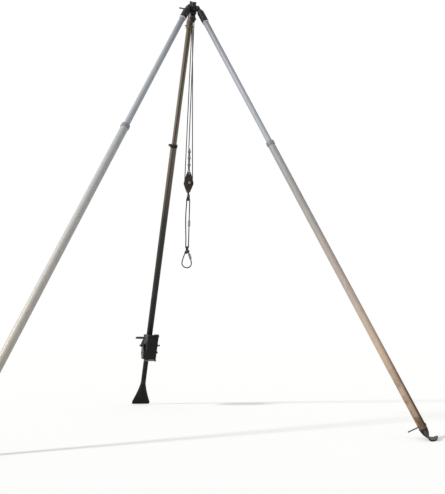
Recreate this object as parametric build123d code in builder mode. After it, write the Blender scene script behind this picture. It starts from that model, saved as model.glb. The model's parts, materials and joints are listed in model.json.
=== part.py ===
from build123d import *
import os
from math import acos, asin, atan2, cos, degrees, pi, radians, sin, sqrt, tan

# Pole erector: a tripod with telescopic legs, a rope tackle hung from its head and a winch on its rear leg.
# Millimetres and degrees. +Z is up, the ground is Z = 0 and the rear leg stands towards +Y.

# Stance
hinge_height = 5300.0
hinge_radius = 75.0
leg_angle = 27.0
azimuths = {"left": 210.0, "right": -30.0, "rear": 90.0}
ear_sides = {"left": -1, "right": 1, "rear": 1}

# Leg tubes, measured along the leg from its hinge
upper_tube_d = 70.0
upper_tube_wall = 5.0
lower_tube_d = 90.0
lower_tube_wall = 6.0
front_collar_at = 2110.0
rear_collar_at = 1790.0
tube_overlap = 600.0
guide_length = 40.0
tube_end_above_ground = 128.0

# Leg sockets
socket_d = 88.0
socket_neck_d = 64.0
socket_shoulder = 35.0
front_neck_at = 38.0
front_socket_length = 152.0
rear_neck_at = 77.0
rear_socket_length = 105.0
socket_bolt_d = 12.0
socket_bolt_share = 0.65
tongue_width = 40.0
tongue_thickness = 24.0
fork_arm = 12.0
stop_reach = 30.0
stop_gap = 0.3

# Crown
crown_below_hinge = 42.0
crown_above_hinge = 64.0
crown_corner = 25.0
lug_radius = 24.0
lug_thickness = 14.0
lug_gap = 2.0
rear_lug_thickness = 36.0
hinge_bolt_d = 20.0
hanger_pin_below_hinge = 63.0
hanger_lug_radius = 18.0
hanger_lug_thickness = 16.0
top_bolt_rise = 26.0
top_bolt_d = 18.0
top_lug_radius = 14.0
top_lug_thickness = 10.0
top_lug_spacing = 22.0
side_bar_d = 16.0
side_bar_y = 26.0
side_bar_left = 170.0
side_bar_right = 139.0
side_bar_knob_d = 24.0
side_bar_knob = 9.0

# Clamp collars
collar_d = 102.0
collar_grip = 30.0
collar_skirt = 15.0
collar_slit = 5.0
collar_ear_reach = 74.0
collar_ear_width = 30.0
collar_bolt_d = 10.0

# Feet: pipe ends that flatten into a fan, with the toe turned up. The front ones stay round nearly to the sole
blade_thickness = 16.0
foot_width = 290.0
front_waist_at = 0.6
front_waist_half_width = 70.0
front_waist_half_depth = 36.0
front_fan_swell = 4.0
rear_waist_at = 0.45
rear_waist_half_width = 62.0
rear_waist_half_depth = 29.0
rear_fan_swell = 1.0
fan_share = 0.9
fan_hollow = 0.54
sole_radius = 40.0
sole_flat = 20.0
toe_angle = 35.0
toe_length = 35.0
spigot_length = 90.0
foot_pin_d = 14.0
foot_pin_above_end = 32.0
foot_pin_reach = 165.0
rear_pin_reach = 12.0

# Shank below the winch
shank_d = 76.0
shank_wall = 6.0
shank_overlap = 140.0
shank_end_above_ground = 400.0
rear_tube_end_below_winch = 15.0

# Hoist rope, sheaves and blocks
rope_d = 12.0
rope_seat = 0.3
rope_joint = 0.5
rope_lead_in = 15.0
upper_pitch_radius = 40.0
lower_pitch_radius = 50.0
sheave_lip = 4.0
upper_sheave_thickness = 16.0
lower_sheave_thickness = 20.0
cheek_thickness = 5.0
cheek_cover = 4.0
cheek_gap = 20.0
lower_gap = 38.0
hub_wall = 7.0
block_axle_d = 20.0
block_pin_d = 16.0
upper_axle_drop = 70.0
tackle_length = 2202.0
becket_rise = 117.0
becket_cheek_radius = 26.0
thimble_rope_radius = 22.0
eye_angle = 20.0
eye_bend = 60.0
eye_leg_gap = 1.0
eye_length = 368.0
tail_length = 333.0
clip_rises = (123.0, 208.0, 293.0)
clip_length = 20.0

# Swivel hook
crosshead_drop = 97.0
crosshead_height = 26.0
crosshead_width = 44.0
trunnion_d = 18.0
hook_shank_d = 20.0
hook_bar_d = 24.0
hook_bowl_radius = 34.0
hook_bowl_drop = 82.0
hook_neck_radius = 25.0
hook_neck_angle = 65.0
hook_sweep = 270.0
hook_nut = 21.5
hook_nut_room = 2.0
latch_pivot_y = 19.0
latch_pivot_rise = 50.0
latch_pin_d = 5.0
latch_width = 17.0
latch_sheet = 3.0
latch_plate_drop = 12.0
latch_length = 37.5

# Sling
sling_rope_d = 14.0
ferrule_d = 30.0
ferrule_length = 70.0
shackle_bar_d = 20.0
shackle_pin_d = 22.0
shackle_half_width = 26.0
shackle_leg = 36.0
shackle_eye_d = 40.0
shackle_eye_width = 24.0
strop_length = 590.0
strop_slack = ((-27.5, 187.0), (-25.0, 322.0), (-18.5, 452.0))
strop_straight = 60.0
strop_ease = 0.45
noose_radius = 62.0
noose_drop = 134.0

# Winch, placed by its drum axis: out from the leg's axis (negative is inside the tripod) and up the leg
drum_out = -175.0
drum_from_ground = 1016.0
plate_thickness = 8.0
plate_lap = 65.0
plate_behind = 114.0
plate_above = 209.0
plate_below = 108.0
plate_corner = 24.0
guard_sheet = 4.0
guard_inset = 2.0
guard_from_top = 14.0
guard_from_rod = 16.0
drum_barrel_d = 100.0
drum_flange_d = 204.0
drum_flange = 8.0
drum_side_room = 14.0
drum_shaft_d = 30.0
drum_core_d = 157.0
drum_turns = 7
turn_gap = 1.0
turn_side_gap = 1.5
gear_module = 4.0
gear_teeth = 48
pinion_teeth = 12
pressure_angle = 25.0
tooth_addendum = 0.85
tooth_dedendum = 1.2
tooth_backlash = 0.5
gear_width = 28.0
gear_stand_off = 5.0
pinion_shaft_d = 24.0
shaft_end = 40.0
square_end = 18.0
bush_wall = 5.0
bush_flange = 3.0
tie_rod_d = 16.0
tie_rod_spacer_d = 22.0
tie_rod_inset = 20.0
ratchet_teeth = 12
ratchet_radius = 36.0
ratchet_depth = 7.0
ratchet_width = 12.0
ratchet_lean = 0.9
pawl_pivot_distance = 66.0
pawl_pivot_angle = 205.0
pawl_pin_d = 12.0
pawl_pin_head_d = 19.0
pawl_pin_head = 4.0
pawl_boss_d = 28.0
pawl_tip_angle = 250.0
pawl_tip_width = 14.0
pawl_clearance = 0.4
bar_height = 60.0
bar_thickness = 12.0
bar_inset = 32.0
u_bolt_d = 12.0
u_bolt_end = 11.0
crank_stand_off = 14.0
crank_thickness = 14.0
crank_width = 32.0
crank_hub_d = 50.0
crank_reach = 250.0
crank_angle = 54.0
spindle_d = 14.0
grip_d = 34.0
grip_length = 112.0
grip_edge = 4.0
grip_end_d = 26.0
grip_end = 7.0

# Bolts, as shares of their diameter: half the width over a hexagon's corners, and lengths along the bolt
hexagon = 0.9
bolt_head = 0.65
nut_height = 0.8
bolt_end = 1.1

# Fits
running = 0.05
seat = 0.1
tube_seat = 0.3
side_gap = 0.5
root = 2.0

os.makedirs("parts", exist_ok=True)

up = Vector(0, 0, 1)
slope = radians(leg_angle)
leg_length = hinge_height / cos(slope)
blade_rise = blade_thickness / 2 + sole_radius * (1 - sin(slope))
blade_bend_r = hinge_radius + (hinge_height - blade_rise) * tan(slope)
sole_start_r = blade_bend_r + sole_radius * cos(slope)
toe_start_r = sole_start_r + sole_flat + sole_radius * sin(radians(toe_angle))
toe_reach = toe_start_r + toe_length * cos(radians(toe_angle))

# The head stands off the middle of the footprint, because the rear foot reaches further than the front pair
front_reach = (toe_reach + foot_width / 2) / 2
head_y = -(toe_reach - front_reach) / 2
head = Vector(0, head_y, 0)

# Heights, each measured from the piece that carries it
crown_bottom = hinge_height - crown_below_hinge
crown_top = hinge_height + crown_above_hinge
top_bolt_at = crown_top + top_bolt_rise
hanger_pin_at = hinge_height - hanger_pin_below_hinge
upper_axle_at = hanger_pin_at - upper_axle_drop
lower_axle_at = upper_axle_at - tackle_length
becket_at = lower_axle_at + becket_rise
crosshead_at = lower_axle_at - crosshead_drop
hook_bowl_at = crosshead_at - hook_bowl_drop
latch_pivot_z = hook_bowl_at + latch_pivot_rise
saddle_at = hook_bowl_at - hook_bowl_radius
bow_at = saddle_at - strop_length
shackle_pin_at = bow_at - shackle_leg - shackle_half_width
noose_at = shackle_pin_at - noose_drop

rope_r = rope_d / 2
groove = rope_r + rope_seat
gap_middle = cheek_thickness / 2 + cheek_gap / 2
turn_pitch = rope_d + turn_gap
drum_inner_width = drum_turns * turn_pitch + rope_d + 2 * turn_side_gap
drum_along = leg_length - drum_from_ground
plate_span = drum_inner_width + 2 * (drum_flange + drum_side_room)
plate_near = -lower_tube_d / 2 + plate_lap
plate_far = drum_out - plate_behind
plate_top = drum_along - plate_above
plate_bottom = drum_along + plate_below
# The plates' top edge lies level when the legs are spread
plate_far_top = plate_top - (plate_near - plate_far) * tan(slope)
rear_tube_end = plate_bottom + rear_tube_end_below_winch
collar_at = {"left": front_collar_at, "right": front_collar_at, "rear": rear_collar_at}
neck_at = {"left": front_neck_at, "right": front_neck_at, "rear": rear_neck_at}
socket_length = {"left": front_socket_length, "right": front_socket_length, "rear": rear_socket_length}


def save(piece, name):
    piece.part.label = name
    export_step(piece.part, f"parts/{name}.step")


def radial(azimuth):
    return Vector(cos(radians(azimuth)), sin(radians(azimuth)), 0)


def across(azimuth):
    return Vector(-sin(radians(azimuth)), cos(radians(azimuth)), 0)


def along(azimuth):
    return radial(azimuth) * sin(slope) - up * cos(slope)


def outward(azimuth):
    return radial(azimuth) * cos(slope) + up * sin(slope)


# A leg's own coordinates: u across it, v outwards, w down it from the hinge
def leg_point(azimuth, u, v, w):
    hinge = head + radial(azimuth) * hinge_radius + up * hinge_height
    return hinge + across(azimuth) * u + outward(azimuth) * v + along(azimuth) * w


def cross_plane(azimuth, w, u=0, v=0):
    return Plane(leg_point(azimuth, u, v, w), x_dir=across(azimuth), z_dir=along(azimuth))


def side_plane(azimuth, u, v=0, w=0):
    return Plane(leg_point(azimuth, u, v, w), x_dir=outward(azimuth), z_dir=across(azimuth))


def face_plane(azimuth, v, u=0, w=0):
    return Plane(leg_point(azimuth, u, v, w), x_dir=across(azimuth), z_dir=outward(azimuth) * -1)


# Upright planes through the head's axis: radius and height in a leg's plane, Y and Z, or X and Z
def radial_plane(azimuth, u):
    return Plane(head + across(azimuth) * u, x_dir=radial(azimuth), z_dir=across(azimuth) * -1)


def depth_plane(x):
    return Plane(head + Vector(x, 0, 0), x_dir=(0, 1, 0), z_dir=(1, 0, 0))


def width_plane(y):
    return Plane(head + Vector(0, y, 0), x_dir=(1, 0, 0), z_dir=(0, -1, 0))


def rod(start, end, diameter):
    with BuildSketch(Plane(start, z_dir=end - start)) as section:
        Circle(diameter / 2)
    extrude(section.sketch, amount=(end - start).length)


def nut_at(plane, diameter):
    with BuildSketch(plane) as nut:
        RegularPolygon(diameter * hexagon, 6)
        Circle(diameter / 2 + seat, mode=Mode.SUBTRACT)
    extrude(nut.sketch, amount=diameter * nut_height)


# A hexagon bolt and its nut; the plane lies under the bolt's head and faces down the shank
def bolt_and_nut(plane, diameter, grip):
    with BuildSketch(plane) as top:
        RegularPolygon(diameter * hexagon, 6)
    extrude(top.sketch, amount=-diameter * bolt_head)
    with BuildSketch(plane) as stem:
        Circle(diameter / 2)
    extrude(stem.sketch, amount=grip + diameter * bolt_end)
    nut_at(plane.offset(grip), diameter)


# Crown: a three-sided block whose flats stop the legs when they are spread
crown_flat = hinge_radius - stop_reach * sin(slope) - tongue_width / 2 * cos(slope) - stop_gap
lug_inside = tongue_thickness / 2 + lug_gap
with BuildPart() as crown:
    with BuildSketch(Plane(head + up * crown_bottom, x_dir=(1, 0, 0), z_dir=(0, 0, 1))):
        with BuildLine():
            Polyline(*[radial(a + 180) * 2 * crown_flat for a in azimuths.values()], close=True)
        make_face()
    extrude(amount=crown_top - crown_bottom)
    fillet(crown.edges().filter_by(Axis.Z), radius=crown_corner)
    lugs = [(azimuths["rear"], rear_lug_thickness / 2, rear_lug_thickness)]
    for name in ("left", "right"):
        lugs += [(azimuths[name], u, lug_thickness) for u in (lug_inside + lug_thickness, -lug_inside)]
    for azimuth, offset_u, thickness in lugs:
        with BuildSketch(radial_plane(azimuth, offset_u)):
            with Locations((hinge_radius, hinge_height)):
                Circle(lug_radius)
            with Locations(((crown_flat - root + hinge_radius) / 2, hinge_height)):
                Rectangle(hinge_radius - crown_flat + root, 2 * lug_radius)
            with Locations((hinge_radius, hinge_height)):
                Circle(hinge_bolt_d / 2 + running, mode=Mode.SUBTRACT)
        extrude(amount=thickness)
    for side in (-1, 1):
        with BuildSketch(depth_plane(side * gap_middle - hanger_lug_thickness / 2)):
            with Locations((0, hanger_pin_at)):
                Circle(hanger_lug_radius)
            with Locations((0, (hanger_pin_at + crown_bottom + root) / 2)):
                Rectangle(2 * hanger_lug_radius, crown_bottom - hanger_pin_at + root)
            with Locations((0, hanger_pin_at)):
                Circle(block_pin_d / 2 + seat, mode=Mode.SUBTRACT)
        extrude(amount=hanger_lug_thickness)
    for place in (-1, 0, 1):
        with BuildSketch(depth_plane(place * top_lug_spacing - top_lug_thickness / 2)):
            with Locations((0, top_bolt_at)):
                Circle(top_lug_radius)
            with Locations((0, (top_bolt_at + crown_top - root) / 2)):
                Rectangle(2 * top_lug_radius, top_bolt_at - crown_top + root)
            with Locations((0, top_bolt_at)):
                Circle(top_bolt_d / 2 + seat, mode=Mode.SUBTRACT)
        extrude(amount=top_lug_thickness)
    with BuildSketch(depth_plane(-side_bar_left)):
        with Locations((side_bar_y, hinge_height)):
            Circle(side_bar_d / 2 + seat)
    extrude(amount=side_bar_left + side_bar_right, mode=Mode.SUBTRACT)
save(crown, "crown")

fork_inside = rear_lug_thickness / 2 + lug_gap
with BuildPart() as crown_bolts:
    for name, azimuth in azimuths.items():
        half = fork_inside + fork_arm + side_gap if name == "rear" else lug_inside + lug_thickness
        bolt_and_nut(side_plane(azimuth, -half), hinge_bolt_d, 2 * half)
    half = top_lug_spacing + top_lug_thickness / 2
    start = Plane(head + Vector(-half, 0, top_bolt_at), x_dir=(0, 1, 0), z_dir=(1, 0, 0))
    bolt_and_nut(start, top_bolt_d, 2 * half)
    for x, length, diameter in (
        (-side_bar_left, side_bar_left + side_bar_right, side_bar_d),
        (-side_bar_left, side_bar_knob, side_bar_knob_d),
        (side_bar_right - side_bar_knob, side_bar_knob, side_bar_knob_d),
    ):
        with BuildSketch(depth_plane(x)):
            with Locations((side_bar_y, hinge_height)):
                Circle(diameter / 2)
        extrude(amount=length)
save(crown_bolts, "crown_bolts")


# Legs
def make_socket(name, azimuth):
    neck = neck_at[name]
    top = neck + socket_shoulder
    end = top + socket_length[name]
    bolt_at = top + socket_bolt_share * socket_length[name]
    if name == "rear":
        strips = [(fork_inside, fork_arm), (-fork_inside - fork_arm, fork_arm)]
    else:
        strips = [(-tongue_thickness / 2, tongue_thickness)]
    with BuildPart() as socket:
        with BuildSketch(side_plane(azimuth, 0)):
            with BuildLine():
                Polyline(
                    (0, neck),
                    (socket_neck_d / 2, neck),
                    (socket_d / 2, top),
                    (socket_d / 2, end),
                    (upper_tube_d / 2 + seat, end),
                    (upper_tube_d / 2 + seat, top),
                    (0, top),
                    close=True,
                )
            make_face()
        revolve(axis=Axis(leg_point(azimuth, 0, 0, 0), along(azimuth)))
        for start, thickness in strips:
            with BuildSketch(side_plane(azimuth, start)):
                with Locations((0, (top - root - stop_reach) / 2)):
                    Rectangle(tongue_width, top - root + stop_reach)
                Circle(hinge_bolt_d / 2 + running, mode=Mode.SUBTRACT)
            extrude(amount=thickness)
        with BuildSketch(side_plane(azimuth, -socket_d, w=bolt_at)):
            Circle(socket_bolt_d / 2 + seat)
        extrude(amount=2 * socket_d, mode=Mode.SUBTRACT)
        bolt_and_nut(side_plane(azimuth, -socket_d / 2 - seat, w=bolt_at), socket_bolt_d, socket_d + 2 * seat)
    save(socket, f"{name}_socket")

    guide_end = collar_at[name] + tube_overlap
    with BuildPart() as tube:
        for start, finish, outer_d in (
            (top, guide_end, upper_tube_d),
            (guide_end - guide_length, guide_end, lower_tube_d - 2 * lower_tube_wall - 2 * tube_seat),
        ):
            with BuildSketch(cross_plane(azimuth, start)):
                Circle(outer_d / 2)
                Circle(upper_tube_d / 2 - upper_tube_wall, mode=Mode.SUBTRACT)
            extrude(amount=finish - start)
        with BuildSketch(side_plane(azimuth, -socket_d, w=bolt_at)):
            Circle(socket_bolt_d / 2 + seat)
        extrude(amount=2 * socket_d, mode=Mode.SUBTRACT)
    save(tube, f"{name}_upper_tube")


def make_collar(name, azimuth):
    mouth = collar_at[name]
    ear_middle = ear_sides[name] * (collar_d / 2 + collar_ear_reach) / 2
    ear_root = ear_sides[name] * collar_ear_reach / 2
    bolt_at = mouth - collar_grip / 2
    with BuildPart() as collar:
        with BuildSketch(cross_plane(azimuth, mouth - collar_grip)):
            Circle(collar_d / 2)
            with Locations((ear_root, 0)):
                Rectangle(collar_ear_reach, collar_ear_width)
            Circle(upper_tube_d / 2 + running, mode=Mode.SUBTRACT)
            with Locations((ear_root, 0)):
                Rectangle(collar_ear_reach, collar_slit, mode=Mode.SUBTRACT)
        extrude(amount=collar_grip)
        with BuildSketch(cross_plane(azimuth, mouth)):
            Circle(collar_d / 2)
            Circle(lower_tube_d / 2 + seat, mode=Mode.SUBTRACT)
        extrude(amount=collar_skirt)
        with BuildSketch(face_plane(azimuth, collar_ear_width, u=ear_middle, w=bolt_at)):
            Circle(collar_bolt_d / 2 + seat)
        extrude(amount=2 * collar_ear_width, mode=Mode.SUBTRACT)
    save(collar, f"{name}_collar")

    with BuildPart() as pinch:
        ear_face = face_plane(azimuth, collar_ear_width / 2, u=ear_middle, w=bolt_at)
        bolt_and_nut(ear_face, collar_bolt_d, collar_ear_width)
    save(pinch, f"{name}_collar_bolt")


tube_end = leg_length - tube_end_above_ground
shank_end = leg_length - shank_end_above_ground


def cut_pin_hole(azimuth, diameter, end):
    with BuildSketch(face_plane(azimuth, diameter, w=end - foot_pin_above_end)) as hole:
        Circle(foot_pin_d / 2 + seat)
    extrude(hole.sketch, amount=2 * diameter, mode=Mode.SUBTRACT)


def make_lower_tube(name, azimuth):
    end = rear_tube_end if name == "rear" else tube_end
    with BuildPart() as tube:
        with BuildSketch(cross_plane(azimuth, collar_at[name])):
            Circle(lower_tube_d / 2)
            Circle(lower_tube_d / 2 - lower_tube_wall, mode=Mode.SUBTRACT)
        extrude(amount=end - collar_at[name])
        if name != "rear":
            cut_pin_hole(azimuth, lower_tube_d, end)
    save(tube, f"{name}_lower_tube")


def foot_outline(side, start):
    # One face of the blade, in radius and height: down the leg, round the sole, and up past the toe
    down = Vector(sin(slope), -cos(slope))
    normal = Vector(cos(slope), sin(slope)) * side * blade_thickness / 2
    top = Vector(hinge_radius + start * sin(slope), hinge_height - start * cos(slope)) + normal
    bend = Vector(blade_bend_r, blade_rise) + normal
    radius = sole_radius - side * blade_thickness / 2
    shin = Line(top, bend)
    heel = JernArc(start=bend, tangent=down, radius=radius, arc_size=90 - leg_angle)
    sole = Line(heel @ 1, heel @ 1 + Vector(sole_flat, 0))
    ball = JernArc(start=sole @ 1, tangent=(1, 0), radius=radius, arc_size=toe_angle)
    tip = Vector(cos(radians(toe_angle)), sin(radians(toe_angle))) * (toe_length + blade_thickness)
    toe = Line(ball @ 1, ball @ 1 + tip)
    return shin @ 0, toe @ 1


# Foot: a spigot in the tube's end, a pipe that flattens as it widens, and the bent blade that it runs into
def make_foot(name, azimuth, tube_d, tube_wall, end, pin_reach, shape):
    waist_at, waist_half_width, waist_half_depth, fan_swell = shape
    half = foot_width / 2
    neck = end + tube_seat
    bend = (hinge_height - blade_rise) / cos(slope)
    waist = neck + waist_at * (bend - neck)
    spigot_d = tube_d - 2 * tube_wall - 2 * tube_seat
    with BuildPart() as foot:
        with BuildSketch(radial_plane(azimuth, 0)):
            with BuildLine():
                outer = foot_outline(1, neck + blade_thickness)
                inner = foot_outline(-1, neck + blade_thickness)
                Line(outer[0], inner[0])
                Line(outer[1], inner[1])
            make_face()
        extrude(amount=half, both=True)
        with BuildSketch(face_plane(azimuth, 0)):
            with BuildLine():
                sides = []
                for side in (-1, 1):
                    start = (side * fan_share * tube_d / 2, neck)
                    middle = (side * fan_hollow * half, (neck + bend) / 2)
                    sides.append(ThreePointArc(start, middle, (side * half, bend)))
                below = bend + foot_width
                Polyline((-half, bend), (-half, below), (half, below), (half, bend))
                Line(sides[0] @ 0, sides[1] @ 0)
            make_face()
        extrude(amount=foot_width, both=True, mode=Mode.INTERSECT)
        with BuildSketch(Plane(head, x_dir=radial(azimuth), z_dir=(0, 0, 1))):
            with Locations((toe_reach - half, 0)):
                Circle(half)
            with Locations((toe_reach - half - foot_width, 0)):
                Rectangle(2 * foot_width, foot_width)
        extrude(amount=shank_end_above_ground + foot_width, mode=Mode.INTERSECT)
        with BuildSketch(cross_plane(azimuth, neck)):
            Circle(tube_d / 2)
        with BuildSketch(cross_plane(azimuth, waist)):
            Ellipse(waist_half_width, waist_half_depth)
        with BuildSketch(cross_plane(azimuth, bend)):
            Ellipse(fan_share * half, blade_thickness / 2 + fan_swell)
        loft()
        with BuildSketch(cross_plane(azimuth, end - spigot_length)):
            Circle(spigot_d / 2)
        extrude(amount=spigot_length + tube_seat + root)
        cut_pin_hole(azimuth, tube_d, end)
    save(foot, f"{name}_foot")

    with BuildPart() as pin:
        head_plane = face_plane(azimuth, tube_d / 2 + tube_seat, w=end - foot_pin_above_end)
        with BuildSketch(head_plane):
            Circle(foot_pin_d)
        extrude(amount=-foot_pin_d / 2)
        with BuildSketch(head_plane):
            Circle(foot_pin_d / 2)
        extrude(amount=tube_d / 2 + pin_reach)
    save(pin, f"{name}_foot_pin")


front_shape = (front_waist_at, front_waist_half_width, front_waist_half_depth, front_fan_swell)
rear_shape = (rear_waist_at, rear_waist_half_width, rear_waist_half_depth, rear_fan_swell)
for leg_name, leg_azimuth in azimuths.items():
    make_socket(leg_name, leg_azimuth)
    make_collar(leg_name, leg_azimuth)
    make_lower_tube(leg_name, leg_azimuth)
    if leg_name == "rear":
        make_foot(leg_name, leg_azimuth, shank_d, shank_wall, shank_end, rear_pin_reach, rear_shape)
    else:
        make_foot(leg_name, leg_azimuth, lower_tube_d, lower_tube_wall, tube_end, foot_pin_reach, front_shape)

rear = azimuths["rear"]
with BuildPart() as shank:
    with BuildSketch(cross_plane(rear, rear_tube_end - shank_overlap)):
        Circle(shank_d / 2)
        Circle(shank_d / 2 - shank_wall, mode=Mode.SUBTRACT)
    extrude(amount=shank_end - rear_tube_end + shank_overlap)
    cut_pin_hole(rear, shank_d, shank_end)
save(shank, "rear_shank")


# Blocks
# A grooved wheel with a hub, turned from its half section: across its width and out along its radius
def make_sheave(name, plane, pitch_radius, rim, thickness, bore, hub):
    with BuildPart() as sheave:
        with BuildSketch(Plane(plane.origin, x_dir=plane.z_dir, z_dir=plane.x_dir)):
            with Locations((0, rim / 2)):
                Rectangle(thickness, rim)
            with Locations((0, bore / 2 + hub_wall / 2)):
                Rectangle(hub, hub_wall)
            with Locations((0, pitch_radius)):
                Circle(groove, mode=Mode.SUBTRACT)
            with Locations((0, pitch_radius + rim)):
                Rectangle(2 * groove, 2 * rim, mode=Mode.SUBTRACT)
            Rectangle(2 * hub, bore, mode=Mode.SUBTRACT)
        revolve(axis=Axis(plane.origin, plane.z_dir))
    save(sheave, name)


upper_axle = head + up * upper_axle_at
lower_axle = head + up * lower_axle_at
upper_rim = upper_pitch_radius + sheave_lip
lower_rim = lower_pitch_radius + sheave_lip
sheave_bore = block_axle_d + 2 * running
upper_hub = cheek_gap - 2 * side_gap
lower_hub = lower_gap - 2 * side_gap
for sheave_name, x in (("fall_sheave", gap_middle), ("lead_sheave", -gap_middle)):
    sheave_plane = Plane(upper_axle + Vector(x, 0, 0), x_dir=(0, 1, 0), z_dir=(1, 0, 0))
    upper_sizes = (upper_pitch_radius, upper_rim, upper_sheave_thickness, sheave_bore, upper_hub)
    make_sheave(sheave_name, sheave_plane, *upper_sizes)
lower_plane = Plane(lower_axle, x_dir=(1, 0, 0), z_dir=(0, -1, 0))
lower_sizes = (lower_pitch_radius, lower_rim, lower_sheave_thickness, sheave_bore, lower_hub)
make_sheave("lower_sheave", lower_plane, *lower_sizes)

with BuildPart() as upper_cheeks:
    for place in (-1, 0, 1):
        x = place * (cheek_thickness + cheek_gap) - cheek_thickness / 2
        with BuildSketch(depth_plane(x)):
            with Locations((0, upper_axle_at)):
                Circle(upper_rim + cheek_cover)
            with Locations((0, hanger_pin_at)):
                Circle(hanger_lug_radius)
            make_hull()
            with Locations((0, upper_axle_at)):
                Circle(block_axle_d / 2 + seat, mode=Mode.SUBTRACT)
            with Locations((0, hanger_pin_at)):
                Circle(block_pin_d / 2 + seat, mode=Mode.SUBTRACT)
        extrude(amount=cheek_thickness)
save(upper_cheeks, "upper_block_cheeks")

upper_half = cheek_gap + 1.5 * cheek_thickness
with BuildPart() as upper_axles:
    for z, diameter in ((upper_axle_at, block_axle_d), (hanger_pin_at, block_pin_d)):
        start = Plane(head + Vector(-upper_half, 0, z), x_dir=(0, 1, 0), z_dir=(1, 0, 0))
        bolt_and_nut(start, diameter, 2 * upper_half)
save(upper_axles, "upper_block_pins")

lower_half = lower_gap / 2 + cheek_thickness
lower_bolts = ((lower_axle_at, block_axle_d), (becket_at, block_pin_d))
with BuildPart() as lower_cheeks:
    for y in (lower_half, -lower_gap / 2):
        with BuildSketch(width_plane(y)):
            with Locations((0, lower_axle_at)):
                Circle(lower_rim + cheek_cover)
            with Locations((0, becket_at)):
                Circle(becket_cheek_radius)
            with Locations((0, crosshead_at)):
                Circle(crosshead_width / 2)
            make_hull()
            for z, diameter in (*lower_bolts, (crosshead_at, trunnion_d)):
                with Locations((0, z)):
                    Circle(diameter / 2 + seat, mode=Mode.SUBTRACT)
        extrude(amount=cheek_thickness)
save(lower_cheeks, "lower_block_cheeks")

with BuildPart() as lower_pins:
    for z, diameter in lower_bolts:
        start = Plane(head + Vector(0, lower_half, z), x_dir=(1, 0, 0), z_dir=(0, -1, 0))
        bolt_and_nut(start, diameter, 2 * lower_half)
save(lower_pins, "lower_block_pins")

thimble_plane = Plane(head + up * becket_at, x_dir=(1, 0, 0), z_dir=(0, -1, 0))
thimble_rim = thimble_rope_radius + rope_r / 3
thimble_bore = block_pin_d + 2 * seat
thimble_sizes = (thimble_rope_radius, thimble_rim, lower_sheave_thickness, thimble_bore, lower_hub)
make_sheave("becket_thimble", thimble_plane, *thimble_sizes)

with BuildPart() as crosshead:
    with BuildSketch(width_plane(lower_gap / 2 - side_gap)):
        with Locations((0, crosshead_at)):
            Rectangle(crosshead_width, crosshead_height)
    extrude(amount=lower_gap - 2 * side_gap)
    with BuildSketch(width_plane(lower_half)):
        with Locations((0, crosshead_at)):
            Circle(trunnion_d / 2)
    extrude(amount=2 * lower_half)
    with BuildSketch(Plane(head + up * (crosshead_at - crosshead_height))):
        Circle(hook_shank_d / 2 + running)
    extrude(amount=2 * crosshead_height, mode=Mode.SUBTRACT)
save(crosshead, "hook_crosshead")

# Swivel hook: shank, neck and bowl in the Y-Z plane, and the nut that it hangs by
neck_turn = radians(hook_neck_angle)
hook_stem_end = hook_bowl_at + (hook_bowl_radius + hook_neck_radius) * sin(neck_turn)
hook_nut_at = crosshead_at + crosshead_height / 2 + side_gap
with BuildPart() as hook:
    with BuildLine(depth_plane(0)) as hook_line:
        stem = Line((0, crosshead_at - crosshead_height / 2 - side_gap), (0, hook_stem_end))
        neck = JernArc(start=stem @ 1, tangent=stem % 1, radius=hook_neck_radius, arc_size=-hook_neck_angle)
        JernArc(start=neck @ 1, tangent=neck % 1, radius=hook_bowl_radius, arc_size=hook_sweep)
    with BuildSketch(Plane(hook_line.line @ 0, z_dir=(0, 0, -1))):
        Circle(hook_bar_d / 2)
    sweep(path=hook_line.wire())
    with BuildSketch(Plane(head + up * (crosshead_at - crosshead_height / 2 - side_gap))):
        Circle(hook_shank_d / 2)
    extrude(amount=crosshead_height + 3 * side_gap + hook_nut)
    with BuildSketch(Plane(head + up * hook_nut_at)):
        RegularPolygon(lower_gap / 2 - hook_nut_room, 6)
        Circle(hook_shank_d / 2 + seat, mode=Mode.SUBTRACT)
    extrude(amount=hook_nut)
    with BuildSketch(depth_plane(-latch_width / 2 + latch_sheet + side_gap)):
        with Locations((latch_pivot_y, latch_pivot_z)):
            Circle(latch_pin_d)
        with Locations((latch_pivot_y / 2, latch_pivot_z)):
            Rectangle(latch_pivot_y, 2 * latch_pin_d)
        with Locations((latch_pivot_y, latch_pivot_z)):
            Circle(latch_pin_d / 2 + running, mode=Mode.SUBTRACT)
    extrude(amount=latch_width - 2 * latch_sheet - 2 * side_gap)
save(hook, "swivel_hook")

with BuildPart() as latch:
    with BuildSketch(depth_plane(-latch_width / 2)):
        with Locations((latch_pivot_y, latch_pivot_z)):
            Circle(latch_pin_d)
    extrude(amount=latch_width)
    with BuildSketch(depth_plane(-latch_width / 2 + latch_sheet)):
        with Locations((latch_pivot_y, latch_pivot_z)):
            Circle(latch_pin_d + side_gap)
            Circle(latch_pin_d / 2, mode=Mode.SUBTRACT)
    extrude(amount=latch_width - 2 * latch_sheet, mode=Mode.SUBTRACT)
    with BuildSketch(depth_plane(-latch_width / 2)):
        with Locations((latch_pivot_y - latch_sheet, latch_pivot_z - latch_plate_drop)):
            Rectangle(latch_sheet, latch_length, align=(Align.MIN, Align.MAX))
    extrude(amount=latch_width)
    for x in (-latch_width / 2, latch_width / 2 - latch_sheet):
        with BuildSketch(depth_plane(x)):
            with Locations((latch_pivot_y, latch_pivot_z)):
                Rectangle(latch_sheet * 2, 3 * latch_pin_d, align=(Align.CENTER, Align.MAX))
        extrude(amount=latch_sheet)
save(latch, "hook_latch")


# Hoist rope
def sweep_rope(line, diameter):
    with BuildSketch(Plane(line.line @ 0, z_dir=line.line % 0)) as section:
        Circle(diameter / 2)
    sweep(section.sketch, path=line.wire())


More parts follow.
